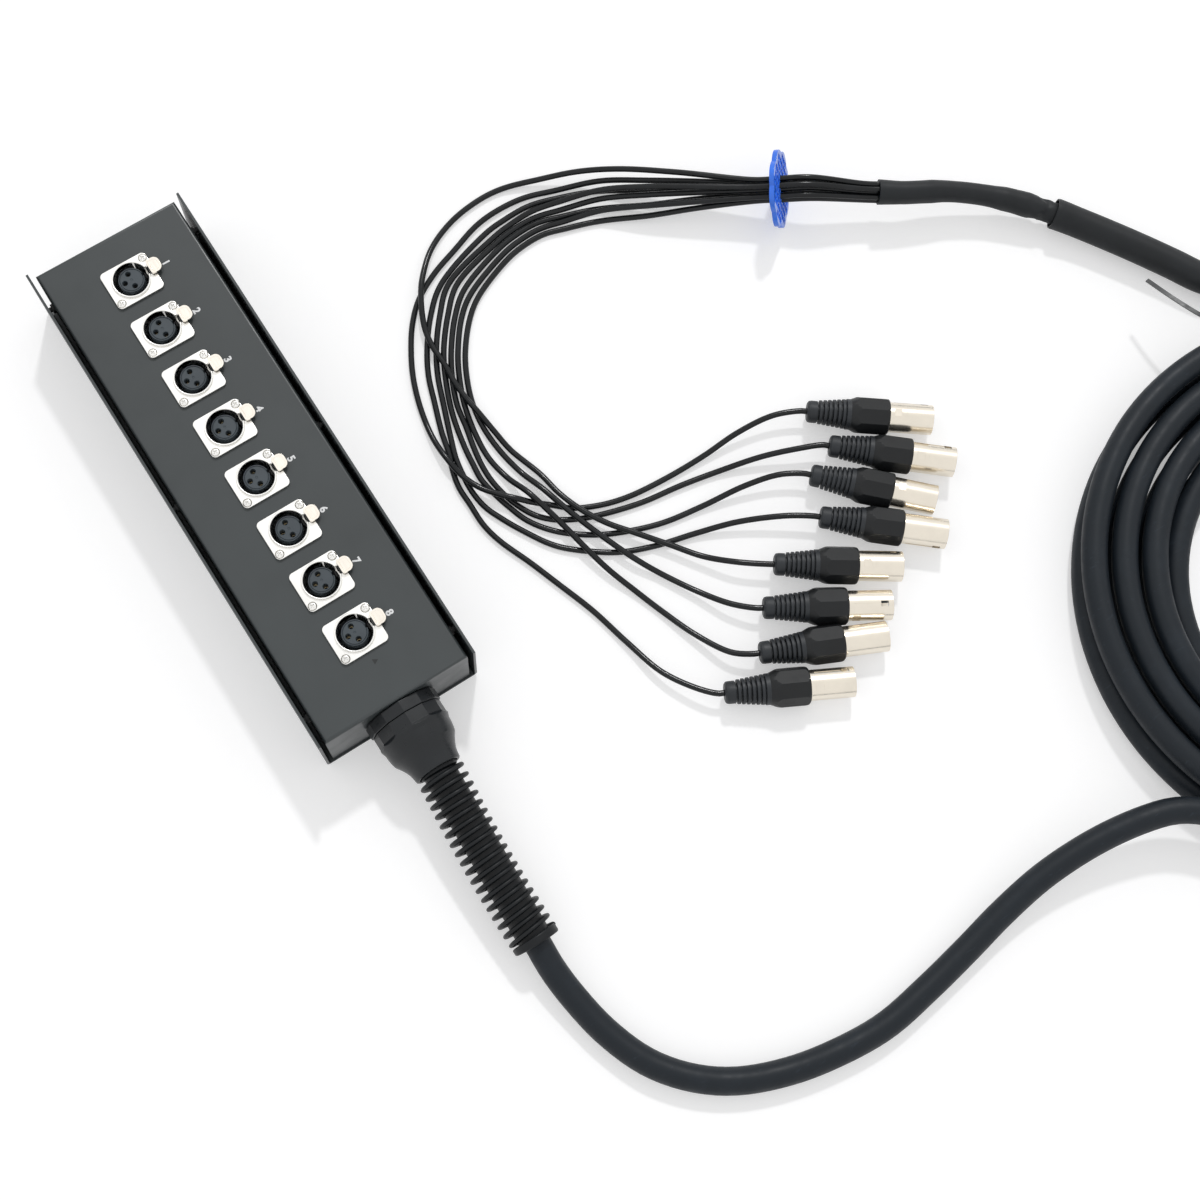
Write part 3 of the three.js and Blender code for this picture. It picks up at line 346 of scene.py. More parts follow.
def even_line(points, step):
    """The same line with evenly spaced points."""
    count = max(2, round(line_length(points) / step))
    gap = line_length(points) / count
    even, walked = [points[0].copy()], 0.0
    for a, b in zip(points, points[1:]):
        edge = (b - a).length
        while len(even) < count and walked + edge >= gap * len(even):
            even.append(a.lerp(b, (gap * len(even) - walked) / edge))
        walked += edge
    even.append(points[-1].copy())
    return even


def part_of(points, start, end):
    """The stretch of a line between two distances from its start."""
    kept, walked = [], 0.0
    for a, b in zip(points, points[1:]):
        edge = (b - a).length
        for place in (start, end):
            if walked <= place < walked + edge:
                kept.append(a.lerp(b, (place - walked) / edge))
        if start < walked + edge < end:
            kept.append(b.copy())
        walked += edge
    return kept


def vectors(*rows):
    """Points in millimetres. A row of two numbers lies at the height of a cord on the floor."""
    return [Vector((*row, CORD_LAY)[:3]) for row in rows]


# ---------------------------------------------------------------- routes, in the part's millimetres

COIL_CENTRE = Vector((416, 538, 0))
COIL_RADIUS = 177.5
COIL_PITCH = 18.9
COIL_RISE = 16.9
COIL_TURNS = 7.436
COIL_STEPS = 1070
COIL_START = math.radians(122)
TRUNK = 16.3
COIL_FLOOR = 1.2 + TRUNK / 2 * math.cos(math.pi / 6)
CORD_LAY = 2.0


def coil_point(turned):
    """A point of the coil by its angle turned: inward on the floor, then up and outward on top."""
    offset = turned - COIL_TURNS * math.pi
    climb = math.pi / 2
    away = offset * offset / (2 * climb) + climb / 2 if abs(offset) < climb else abs(offset)
    radius = COIL_RADIUS - COIL_PITCH * (COIL_TURNS * math.pi - away) / (2 * math.pi)
    share = min(1.0, max(0.0, (offset + climb) / (2 * climb)))
    angle = COIL_START - turned
    height = COIL_FLOOR + share * share * (3 - 2 * share) * COIL_RISE
    return COIL_CENTRE + Vector((radius * math.cos(angle), radius * math.sin(angle), height))


WHOLE_COIL = COIL_TURNS * 2 * math.pi
ONE_DEGREE = math.pi / 180
START_WAY = (coil_point(ONE_DEGREE) - coil_point(0)).normalized()
END_WAY = (coil_point(WHOLE_COIL) - coil_point(WHOLE_COIL - ONE_DEGREE)).normalized()
SEAM = 0.3
LEAD_END = coil_point(WHOLE_COIL) + END_WAY * (TRUNK + SEAM)
TAIL_START = coil_point(0) - START_WAY * (TRUNK + SEAM)

LEAD_LINE = smooth_line(
    vectors(
        (164.3, 0, 27), (178.2, 0, 27), (212, 0, 27), (225, -0.8, 26), (247, -2.6, 23.3),
        (273.5, -4, 20.2), (298, -4.6, 17.7), (313, -4.7, 16.2), (328, -4.5, 15), (344, -5, 12.6),
        (363, -3.5, 10), (392, 2, 8.4), (419.5, 13, 8.4), (440.5, 29.5, 8.4), (456, 50, 8.4),
        (468, 78.5, 8.4), (474.7, 108, 8.4),
        (477.5, 140, 8.4), (473.5, 174, 8.7), (468, 205.5, 9.8), (461.8, 236, 12.6), (457.5, 268.5, 17),
        (458, 305, 22), (463, 336, 26), (469, 354, 27.5), (478.5, 367.5, 28), (493, 379.5, 27.6),
        (512, 391, 26.6), (529, 402.2, 25.9), (541.5, 411.8, 25.4),
    )
    + [LEAD_END],
    3,
)
TAIL_LINE = smooth_line(
    [TAIL_START, TAIL_START - START_WAY * TRUNK]
    + vectors(
        (271, 648.5, 8.6), (246, 624.3, 9.6), (219, 601.5, 10.8), (203.2, 587.5, 11.1),
        (184.4, 576.7, 11.2), (159.8, 561.8, 11.3), (130.4, 542.4, 11.7), (114, 529.7, 13.3),
        (88.8, 505.7, 16.2), (68.7, 478.8, 19.6), (54, 450.4, 22.6), (45.3, 436.8, 23),
    ),
    3,
)
JACKET_END = 230.0

PLUG_HEIGHT = 11.2
INTO_BOOT = 24.0
FLOOR_GAP = 0.1
SHELL_ROLLS = (0, 12, -8, 150, 4, 70, 215, 20)
PLUG_LAYS = [
    ((141.8, 315.8), (189.7, 380.8)),
    ((168.2, 314.8), (220, 376.3)),
    ((177.8, 294), (234.3, 351.8)),
    ((203.5, 283.2), (255.7, 344.6)),
    ((213.4, 241.7), (257.7, 309)),
    ((232.7, 220.3), (274.1, 289.2)),
    ((255, 202.5), (289.2, 276.8)),
    ((264, 170.6), (301, 242)),
]
CORD_ROUTES = [
    [
        (47.5, 447, 23), (38, 432, 23), (17.3, 402.3, 27.2), (6.6, 385.7, 24.4),
        (-1.5, 373.2, 22.3), (-24.5, 343, 18), (-42.5, 319, 14), (-62, 293, 7.5), (-73.5, 265.5, 3),
        (-80, 246), (-81.5, 225.5), (-79.5, 209), (-72.5, 188.5), (-65, 168), (-55, 150.5),
        (-42.5, 138), (-28.5, 128.5), (-13.5, 120.5), (2.5, 114.5), (18.5, 110.5), (32.5, 108.5, 4),
        (47, 108.5, 6.6), (60.5, 110.5, 6), (73, 115.5, 6), (81.5, 121.5, 6.6), (88.5, 127.5, 7.6),
        (93, 132, 7.4), (98.5, 138.5, 4.4), (104.5, 146.5), (114.5, 158), (120, 168.5),
        (124.5, 181), (127.5, 195.5), (129.5, 220.5), (130, 246, 3.5), (129.5, 272, 7.5),
        (132.5, 296, 10.5),
    ],
    [
        (50.5, 445, 19), (41, 430, 19), (22.1, 400.5, 22.6), (11.4, 383.8, 19.8),
        (3.3, 371.3, 17.7), (-16.5, 338, 12), (-31.5, 312, 5.5), (-47.5, 284), (-56, 259.5),
        (-60.5, 243.5), (-60.5, 227.5), (-58, 212.5), (-45.5, 178.5), (-33.5, 164.5), (-15, 150),
        (0.5, 141), (18.5, 133.5), (34, 130.5), (47, 127.5), (59, 125.5), (71, 125), (82.5, 126.5),
        (94.5, 130), (105.5, 135.5), (114.5, 144), (122.5, 157.5), (128, 172), (134.5, 196.5),
        (138.5, 224, 2.5), (143.5, 249.5, 3), (150.5, 275.5, 7), (158.5, 296, 10),
    ],
    [
        (50.5, 445, 23), (41, 430, 23), (21.1, 399.3, 27.2), (10.4, 382.6, 24.4),
        (2.4, 370.1, 22.3), (-18, 338.5, 18), (-34, 313.5, 14), (-51, 286.5, 7.5), (-60, 261, 3),
        (-64.5, 244), (-64.5, 227), (-62, 212), (-51, 176.5), (-36, 160.5), (-17.5, 146),
        (-2, 137.5), (21.5, 128), (45.5, 122.5), (57, 121), (69, 120), (81, 122), (92.5, 125),
        (106.5, 130), (121.5, 141), (136, 159.5), (144.5, 176.5), (152.5, 200), (157, 227.5, 3),
        (161, 256, 7.5), (167, 277.5, 10.5),
    ],
    [
        (50.5, 445, 27), (41, 430, 27), (20.1, 398, 31.9), (9.4, 381.4, 29.1), (1.4, 368.9, 27),
        (-19, 339.5, 23.5), (-36.5, 315, 19.5), (-54.5, 288.5, 12), (-64, 262.5, 6.5),
        (-68.5, 244.5, 4), (-68.5, 226.5), (-66, 211.5), (-54, 172), (-38.5, 156), (-20, 142),
        (-4.5, 133.5), (13.5, 126.5), (36.5, 118), (48.5, 114), (60, 112), (72.5, 111), (85, 112.5),
        (96.5, 117), (109.5, 123.5), (129.5, 136), (145, 153.5), (154.5, 168), (162.5, 188),
        (169.5, 214, 3), (178, 239, 7), (191.5, 266, 10.5),
    ],
    [
        (47.5, 447, 27), (38, 432, 27), (16.3, 401.1, 31.9), (5.6, 384.4, 29.1), (-2.4, 371.9, 27),
        (-35.5, 334.5, 21), (-59.5, 305.5, 15.5), (-74, 284, 10), (-84.5, 261.5, 5), (-93.5, 234.5),
        (-93, 209), (-88, 190), (-80, 175, 3), (-69.5, 163.5, 5), (-58.5, 154.5, 6),
        (-37, 143.5, 6), (-23, 140.5, 6), (-7.5, 140.5, 6), (5, 139.5, 6), (19.5, 140, 6),
        (31, 141.5, 6), (46, 143.5, 4), (62, 146), (85, 153, 2.5), (103.5, 156, 5), (120.5, 162, 6),
        (135.5, 170.5, 6), (149, 181, 6), (167, 195, 6), (185, 208.5, 7), (200, 223.5, 10.5),
    ],
    [
        (54, 443, 19), (44, 428, 19), (25.9, 397.4, 22.6), (15.2, 380.8, 19.8), (7.2, 368.3, 17.7),
        (-11, 334.5, 12), (-25, 308, 5.5), (-40, 279.5), (-47.5, 257), (-51.5, 242.5), (-51.5, 228),
        (-49, 214), (-37, 184.5), (-27, 171.5), (-10, 157.5), (5, 149), (22, 142.5), (39.5, 139.5),
        (59, 140), (77.5, 143.5), (94, 148.5, 5), (110.5, 153, 6), (126.5, 158, 6),
        (144.5, 164.5, 6), (163, 172, 6), (178, 180, 4), (200.5, 193, 5), (219.5, 205.5, 9),
    ],
    [
        (54, 443, 23), (44, 428, 23), (25, 396.2, 27.2), (14.2, 379.5, 24.4), (6.2, 367.1, 22.3),
        (-12.5, 335, 18), (-27.5, 309.5, 14), (-44, 282, 7.5), (-52, 258.5, 3), (-56, 243),
        (-56, 228), (-53.5, 213.5), (-41, 181), (-31, 168), (-12.5, 153.5), (2.5, 145), (21, 137.5),
        (40.5, 133), (59, 131.5), (77, 134.5, 3), (92, 139, 8), (107.5, 143, 8), (124, 147, 6),
        (142.5, 150.5, 6), (161, 155, 5), (179.5, 161.5, 3), (199.5, 168.5, 2.5), (224, 177.5, 5),
        (245, 188.5, 9.5),
    ],
    [
        (47.5, 447, 19), (38, 432, 19), (18.3, 403.5, 22.6), (7.5, 386.9, 19.8),
        (-0.5, 374.4, 17.7), (-23.5, 342, 12), (-40, 317.5, 5.5), (-58, 291), (-68.5, 264),
        (-73.5, 245), (-73.5, 226), (-71.5, 210.5), (-56.5, 168), (-41.5, 151), (-23, 137),
        (-7.5, 128.5), (10.5, 122), (29.5, 115.5), (43.5, 112), (54.5, 108), (66, 105.5),
        (78.5, 105.5), (94.5, 105.5), (108.5, 108.5), (130.5, 117), (150.5, 124), (177, 133),
        (204.5, 139.5, 3), (232, 146.5, 7), (252, 158, 10),
    ],
]


# ---------------------------------------------------------------- modelling helpers


def rest():
    """Leaves edit mode and deselects everything."""
    if bpy.context.mode != "OBJECT":
        bpy.ops.object.mode_set(mode="OBJECT")
    bpy.ops.object.select_all(action="DESELECT")


def cable(name, points, diameter, sides):
    """A round cable on one open spline, its points in millimetres."""
    data = bpy.data.curves.new(name, "CURVE")
    data.dimensions = "3D"
    data.bevel_depth = diameter / 2
    data.bevel_resolution = sides
    data.use_fill_caps = True
    spline = data.splines.new("POLY")
    spline.points.add(len(points) - 1)
    for knot, point in zip(spline.points, points):
        knot.co = (*at(*point), 1)
    spline.use_smooth = True
    piece = bpy.data.objects.new(name, data)
    bpy.context.scene.collection.objects.link(piece)
    return piece


def chosen(piece):
    rest()
    piece.select_set(True)
    bpy.context.view_layer.objects.active = piece
    return piece


def apply(piece, modifier):
    chosen(piece)
    bpy.ops.object.modifier_apply(modifier=modifier.name)


def editing(piece):
    chosen(piece)
    bpy.ops.object.mode_set(mode="EDIT")
    bpy.ops.mesh.select_all(action="SELECT")


def primitive(kind, name, **settings):
    """A primitive at its size and place, which later steps shape."""
    rest()
    getattr(bpy.ops.mesh, f"primitive_{kind}_add")(**settings)
    piece = bpy.context.object
    piece.name = piece.data.name = name
    return piece


def settle(piece):
    """Puts the piece's place into its mesh."""
    chosen(piece)
    bpy.ops.object.transform_apply(location=True, rotation=True, scale=True)
    return piece


def eased(profile, ease, steps=3):
    """The same stops with each corner rounded off by ease, in millimetres."""
    if not ease:
        return profile
    stops = [Vector(stop) for stop in profile]
    out = [stops[0]]
    for before, corner, after in zip(stops, stops[1:], stops[2:]):
        back, on = before - corner, after - corner
        reach = min(ease, back.length * 0.45, on.length * 0.45)
        if reach < 0.02 or abs(back.normalized().dot(on.normalized())) > 0.995:
            out.append(corner)
            continue
        first, last = corner + back.normalized() * reach, corner + on.normalized() * reach
        for i in range(steps + 1):
            t = i / steps
            out.append(first * (1 - t) ** 2 + corner * 2 * t * (1 - t) + last * t * t)
    return [tuple(stop) for stop in out + [stops[-1]]]


def turned(name, profile, sides, ease=0.0, phase=0.0):
    """A round piece, extruded ring by ring up Z. Each stop is a radius and a height in millimetres.
    It closes on itself where the last stop is the first, and gets flat ends otherwise."""
    stops = eased(profile, ease)
    radius, height = stops[0]
    piece = primitive("circle", name, vertices=sides, radius=radius * MM, location=(0, 0, height * MM),
                      rotation=(0, 0, phase))
    settle(piece)
    editing(piece)
    for (r, z), (r_before, z_before) in zip(stops[1:], stops):
        rise = {"value": (0, 0, (z - z_before) * MM)}
        bpy.ops.mesh.extrude_edges_move(TRANSFORM_OT_translate=rise)
        share = r / r_before
        bpy.ops.transform.resize(value=(share, share, 1), center_override=(0, 0, z * MM))
    bpy.ops.mesh.select_all(action="SELECT")
    bpy.ops.mesh.remove_doubles(threshold=0.000002)
    bpy.ops.mesh.fill_holes(sides=0)
    bpy.ops.mesh.select_all(action="SELECT")
    bpy.ops.mesh.normals_make_consistent(inside=False)
    rest()
    return piece


def pipe(inner, outer, low, high):
    """The closed stops of a plain tube."""
    return [(inner, low), (outer, low), (outer, high), (inner, high), (inner, low)]


def block(name, low, high):
    """A cube between two corners in millimetres."""
    middle = [(a + b) / 2 * MM for a, b in zip(low, high)]
    size = [(b - a) * MM for a, b in zip(low, high)]
    return settle(primitive("cube", name, size=1, location=middle, scale=size))


def cleared(piece, kind):
    """Deselects the whole mesh and sets what an edit selects."""
    editing(piece)
    bpy.ops.mesh.select_all(action="DESELECT")
    bpy.ops.mesh.select_mode(type=kind)
    rest()
    return piece.data


def rounded(piece, width, segments, test):
    """Bevels the edges whose two ends, in millimetres, pass the test."""
    mesh = cleared(piece, "EDGE")
    for edge in mesh.edges:
        a, b = (mesh.vertices[i].co / MM for i in edge.vertices)
        edge.select = test(a, b)
    chosen(piece)
    bpy.ops.object.mode_set(mode="EDIT")
    bpy.ops.mesh.bevel(offset=width * MM, segments=segments, affect="EDGES")
    rest()
    return piece


def pick_faces(piece, test):
    """Selects the faces whose normal passes the test, and stays in edit mode."""
    for face in cleared(piece, "FACE").polygons:
        face.select = test(face.normal)
    chosen(piece)
    bpy.ops.object.mode_set(mode="EDIT")


def upright(a, b):
    return abs(a.z - b.z) > 1


def shift(x, y, z=0.0):
    """A move in millimetres."""
    return Matrix.Translation(Vector((x, y, z)) * MM)


def thickened(piece, sheet, offset=-1, even=True):
    modifier = piece.modifiers.new("sheet", "SOLIDIFY")
    modifier.thickness = sheet * MM
    modifier.offset = offset
    modifier.use_even_offset = even
    apply(piece, modifier)
    return piece


def shaped(piece, tool, operation="DIFFERENCE"):
    """Cuts, joins or keeps what a tool body shares with the piece, and removes the tool."""
    modifier = piece.modifiers.new("shape", "BOOLEAN")
    modifier.operation = operation
    modifier.solver = "EXACT"
    modifier.object = tool
    apply(piece, modifier)
    bpy.data.objects.remove(tool)
    return piece


def bored(piece, stops, sides, place=Matrix()):
    """Cuts a turned hole at its place."""
    return shaped(piece, placed(turned("hole", stops, sides), place))


def softened(piece, width, segments=2, angle=35):
    """Small rounding on the sharp edges, then smooth shading by angle."""
    if width:
        modifier = piece.modifiers.new("edges", "BEVEL")
        modifier.width = width * MM
        modifier.segments = segments
        modifier.limit_method = "ANGLE"
        modifier.angle_limit = math.radians(angle)
        modifier.harden_normals = False
        apply(piece, modifier)
    chosen(piece)
    bpy.ops.object.shade_smooth_by_angle(angle=math.radians(angle))
    weigh = piece.modifiers.new("normals", "WEIGHTED_NORMAL")
    weigh.keep_sharp = True
    apply(piece, weigh)
    return piece


def joined(name, *pieces):
    rest()
    for piece in pieces:
        piece.select_set(True)
    bpy.context.view_layer.objects.active = pieces[0]
    bpy.ops.object.join()
    pieces[0].name = pieces[0].data.name = name
    return pieces[0]


def placed(piece, matrix):
    """Moves the mesh itself, so that the object stays at the origin."""
    piece.data.transform(matrix)
    piece.data.update()
    return piece


def copied(piece, name, matrix):
    twin = piece.copy()
    twin.data = piece.data.copy()
    twin.name = twin.data.name = name
    bpy.context.scene.collection.objects.link(twin)
    return placed(twin, matrix)


def set_out(kinds, n, place):
    """Copies each kind to its place. A kind is a piece, its name, its slot and the node it stands for."""
    for piece, name, slot, node in kinds:
        body = f"tab_{n}" if name == "tab" else "snake"
        nodes = [f"{node}_{n}"] if node else []
        fitted(copied(piece, f"{name}_{n}", place), slot, body, *nodes)


def fitted(piece, slot, body, *nodes):
    """Rides on its body and stands for its solids. Its slot is not used."""
    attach(piece, body)
    if nodes:
        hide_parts(*nodes)
    return piece


def frame_of(origin, across, up, along):
    matrix = Matrix((across, up, along)).transposed().to_4x4()
    return Matrix.Translation(origin) @ matrix


def crossed(head, turn, reach, half, low, high):
    """Cuts a cross recess, each arm reach long to both sides and twice half wide, in millimetres."""
    for angle in (turn, turn + math.pi / 2):
        arm = block("arm", (-reach, -half, low), (reach, half, high))
        shaped(head, placed(arm, Matrix.Rotation(angle, 4, "Z")))


def phillips(name, centre, radius, top):
    """A pan head screw with a cross recess, at the top height given in millimetres."""
    head = turned(name, [(radius, top - 1.4), (radius, top - 0.35), (radius * 0.72, top)], 28, 0.25)
    crossed(head, 0.5, radius * 0.6, 0.36, top - 0.95, top + 1)
    return placed(softened(head, 0.05, 1), shift(*centre))


def bent_along(piece, line, start):
    """Bends a straight piece that stands on Z, so that its height runs along the line from start on."""
    frames = []
    walked = [0.0]
    for a, b in zip(line, line[1:]):
        walked.append(walked[-1] + (b - a).length)
    mesh = piece.data
    index = 0
    order = sorted(range(len(mesh.vertices)), key=lambda i: mesh.vertices[i].co.z)
    for i in order:
        vertex = mesh.vertices[i]
        place = start + vertex.co.z / MM
        while index + 2 < len(line) and walked[index + 1] < place:
            index += 1
        share = (place - walked[index]) / (walked[index + 1] - walked[index])
        centre = line[index].lerp(line[index + 1], share)
        before = line[max(index - 1, 0)]
        after = line[min(index + 2, len(line) - 1)]
        way = (line[index + 1] - before).normalized()
        way = way.lerp((after - line[index]).normalized(), share).normalized()
        side = UP.cross(way).normalized()
        rise = way.cross(side)
        frames.append((i, at(*centre) + side * vertex.co.x + rise * vertex.co.y))
    for i, point in frames:
        mesh.vertices[i].co = point
    mesh.update()
    return piece


# ---------------------------------------------------------------- operators


class SNAKE_OT_stage(bpy.types.Operator):
    """Camera at the photograph's angle, pale floor and soft studio light"""

    bl_idname = "snake.stage"
    bl_label = "Stage"

    def execute(self, context):
        self.camera(context)
        self.floor()
        self.lamps()
        self.surroundings(context)
        context.scene.view_settings.view_transform = "Standard"
        return {"FINISHED"}

    def camera(self, context):
        data = bpy.data.cameras.new("camera")
        data.lens = 55.293
        data.sensor_width = 36
        data.sensor_fit = "HORIZONTAL"
        data.clip_end = 20
        camera = bpy.data.objects.new("camera", data)
        across = Vector((0.544588, 0.837402, 0.046707))
        rise = Vector((-0.817252, 0.517322, 0.253923))
        back = across.cross(rise)
        turn = Matrix((across, rise, back)).transposed().to_4x4()
        camera.matrix_world = Matrix.Translation(at(386.975, -59.651, 1097.073)) @ turn
        context.scene.collection.objects.link(camera)
        context.scene.camera = camera

    def floor(self):
        rest()
        middle = at(210, 330, 0)
        bpy.ops.mesh.primitive_plane_add(size=12, location=(middle.x, middle.y, cad_box[0].z - 0.0001))
        floor = bpy.context.object
        floor.name = "floor"
        made = Finish("floor_paper", Roughness=0.75, Emission_Strength=1.0)
        grain = made.between(made.cloud(220, 4))
        made.feed(Base_Color=made.mixed(grain, (0.695, 0.695, 0.70), (0.71, 0.71, 0.715)))
        path = made.node("ShaderNodeLightPath").outputs
        seen = Value(made, path["Is Camera Ray"]) + Value(made, path["Is Glossy Ray"])
        seen = made.between(seen + Value(made, path["Is Transmission Ray"]), 0, 1)
        made.feed(Emission_Color=made.mixed(seen, (0, 0, 0), (0.4, 0.4, 0.4)))
        floor.data.materials.append(made.material)

    def lamps(self):
        key = bpy.data.lights.new("key", "SUN")
        key.energy = 1.0
        key.angle = math.radians(4)
        lamp = bpy.data.objects.new("key", key)
        lamp.rotation_euler = Vector((-0.664, 0.538, 1.0)).to_track_quat("Z", "Y").to_euler()
        bpy.context.scene.collection.objects.link(lamp)

    def surroundings(self, context):
        world = bpy.data.worlds.new("studio")
        world.use_nodes = True
        context.scene.world = world
        tree = world.node_tree
        soft = tree.nodes["Background"]
        soft.inputs["Color"].default_value = (1.0, 1.0, 1.0, 1)
        soft.inputs["Strength"].default_value = 0.68
        plain = tree.nodes.new("ShaderNodeBackground")
        plain.inputs["Color"].default_value = (1, 1, 1, 1)
        path = tree.nodes.new("ShaderNodeLightPath")
        mix = tree.nodes.new("ShaderNodeMixShader")
        seen = path.outputs["Is Camera Ray"]
        for kind in ("Is Glossy Ray", "Is Transmission Ray"):
            either = tree.nodes.new("ShaderNodeMath")
            either.operation = "MAXIMUM"
            tree.links.new(seen, either.inputs[0])
            tree.links.new(path.outputs[kind], either.inputs[1])
            seen = either.outputs[0]
        tree.links.new(seen, mix.inputs[0])
        tree.links.new(soft.outputs[0], mix.inputs[1])
        tree.links.new(plain.outputs[0], mix.inputs[2])
        tree.links.new(mix.outputs[0], tree.nodes["World Output"].inputs[0])


class SNAKE_OT_trunk(bpy.types.Operator):
    """Multicore from the gland, through its coil, to the sleeves"""

    bl_idname = "snake.trunk"
    bl_label = "Trunk cable"

    def execute(self, context):
        coil = [coil_point(WHOLE_COIL * (1 - i / COIL_STEPS)) for i in range(COIL_STEPS + 1)]
        route = LEAD_LINE + [LEAD_END - END_WAY * SEAM] + coil
        route += [TAIL_START + START_WAY * SEAM] + part_of(TAIL_LINE, 0, JACKET_END)
        line = even_line(route, 6)
        trunk = cable("trunk_cable", line, context.scene.snake_sizes.trunk, 6)
        wear(trunk, "jacket")
        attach(trunk, "snake")
        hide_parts("trunk_lead", "trunk_coil", "trunk_tail")
        line_length(line) * MM
        return {"FINISHED"}


class SNAKE_OT_cords(bpy.types.Operator):
    """Eight thin cords from the small sleeve, through the comb, to the plugs"""

    bl_idname = "snake.cords"
    bl_label = "Fan-out cords"

    def execute(self, context):
        for i, route in enumerate(CORD_ROUTES):
            start, toward = (Vector((*place, PLUG_HEIGHT)) for place in PLUG_LAYS[i])
            along = (toward - start).normalized()
            knots = vectors(*route)
            knots += [start - along * 4, start - along * 0.3, start + along * INTO_BOOT]
            line = even_line(smooth_line(knots, 2), 3)
            thick = context.scene.snake_sizes.cord
            for point in line:
                point.z = max(point.z, thick / 2 / MM + FLOOR_GAP)
            cord = cable(f"cord_{i + 1}", line, thick, 5)
            wear(cord, "cord")
            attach(cord, "snake")
            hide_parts(f"fanout_cord_{i + 1}")
            line_length(line) * MM
        return {"FINISHED"}


# Box, in millimetres
TRAY = {"length": 343.0, "width": 105.0, "height": 56.0, "bend": 3.0, "sheet": 1.5}
COVER = {"x": 170.3, "y": 47.8, "low": 1.8, "top": 52.1, "bend": 2.2, "lip": 10.0}
WALL_SCREW_STEP = 150.0
WALL_SCREW_HEIGHT = 44.0
SOCKET_STEP = 37.2
SOCKET_FIRST = -136.7
GLAND_HEIGHT = 27.0


def socket_x(i):
    return SOCKET_FIRST + i * SOCKET_STEP


def wall_screw_places():
    """Places of the cover screws in the two side walls, each with its Z facing outward."""
    for side in (-1, 1):
        for i in (-1, 0, 1):
            y = side * (TRAY["width"] / 2 - TRAY["sheet"])
            turn = Matrix.Rotation(-side * math.pi / 2, 4, "X")
            yield shift(i * WALL_SCREW_STEP, y, WALL_SCREW_HEIGHT) @ turn


class SNAKE_OT_box(bpy.types.Operator):
    """Bent sheet tray and cover, with the cover screws"""

    bl_idname = "snake.box"
    bl_label = "Box"

    def execute(self, context):
        fitted(wear(self.tray(), "paint"), "black_paint", "snake", "base_tray")
        fitted(wear(self.cover(), "paint"), "black_paint", "snake", "top_cover")
        self.screws()
        return {"FINISHED"}

    def tray(self):
        x, y, z = TRAY["length"] / 2, TRAY["width"] / 2, TRAY["height"]
        tray = block("tray", (-x, -y, 0), (x, y, z))
        rounded(tray, TRAY["bend"], 8, lambda a, b: a.z < 1 and b.z < 1 and abs(a.y - b.y) < 1)
        pick_faces(tray, lambda normal: normal.z > 0.9 or abs(normal.x) > 0.9)
        bpy.ops.mesh.delete(type="FACE")
        rest()
        thickened(tray, TRAY["sheet"])
        for place in wall_screw_places():
            bored(tray, [(1.7, -2), (1.7, 0.0), (3.1, 1.56), (3.1, 3)], 28, place)
        return placed(softened(tray, 0.25, 2), Matrix.Translation(ORIGIN))

    def cover(self):
        x, y, low, top, bend = (COVER[key] for key in ("x", "y", "low", "top", "bend"))
        cover = block("cover", (-x, -y, low), (x, y, top))
        rounded(cover, bend, 6, lambda a, b: a.z > top - 1 and b.z > top - 1)
        pick_faces(cover, lambda normal: normal.z < -0.9)
        bpy.ops.mesh.inset(thickness=COVER["lip"] * MM)
        bpy.ops.mesh.delete(type="FACE")
        rest()
        thickened(cover, TRAY["sheet"])
        seam = 0.45
        near = x - TRAY["sheet"] - seam
        for side_x in (-1, 1):
            for side_y in (-1, 1):
                slot = block("seam", (near, y - 2.6, low - 1), (near + seam, y + 1, top - bend - 1))
                shaped(cover, placed(slot, Matrix.Diagonal((side_x, side_y, 1, 1))))
        for i in range(CHANNELS):
            bored(cover, [(12, top - 5), (12, top + 5)], 48, shift(socket_x(i), 0))
        gland = shift(x, 0, GLAND_HEIGHT) @ Matrix.Rotation(math.pi / 2, 4, "Y")
        bored(cover, [(12.3, -6), (12.3, 6)], 48, gland)
        return placed(softened(cover, 0.22, 2), Matrix.Translation(ORIGIN))

    def screws(self):
        head = turned("cover_screw", [(1.6, -4.6), (1.6, -0.1), (3.0, 1.35), (2.8, 1.42)], 28, 0.05)
        crossed(head, 0.4, 1.6, 0.35, 0.7, 2)
        bush = turned("bush", pipe(1.8, 3, -4.6, -1.55), 24, 0.1)
        head = softened(joined("cover_screw", head, bush), 0.06, 1)
        box = Matrix.Translation(ORIGIN)
        twins = [copied(head, "twin", box @ place) for place in wall_screw_places()]
        bpy.data.objects.remove(head)
        screws = wear(joined("cover_screws", *twins), "plug")
        fitted(screws, "black_paint", "snake")


# Sockets, in millimetres from the socket's middle and the box's underside
FLANGE_LOW = 52.4
FLANGE_TOP = 54.0
BARREL = 11.7
BARREL_END = 32.4
BORE = 10.8
CONTACT_PLACES = ((-4.4, 0), (4.4, 0), (0, -4.4))
SCREW_PLACES = ((-9.3, 12.7), (10.7, -12.5))
TAB_HOLLOW = 0.3


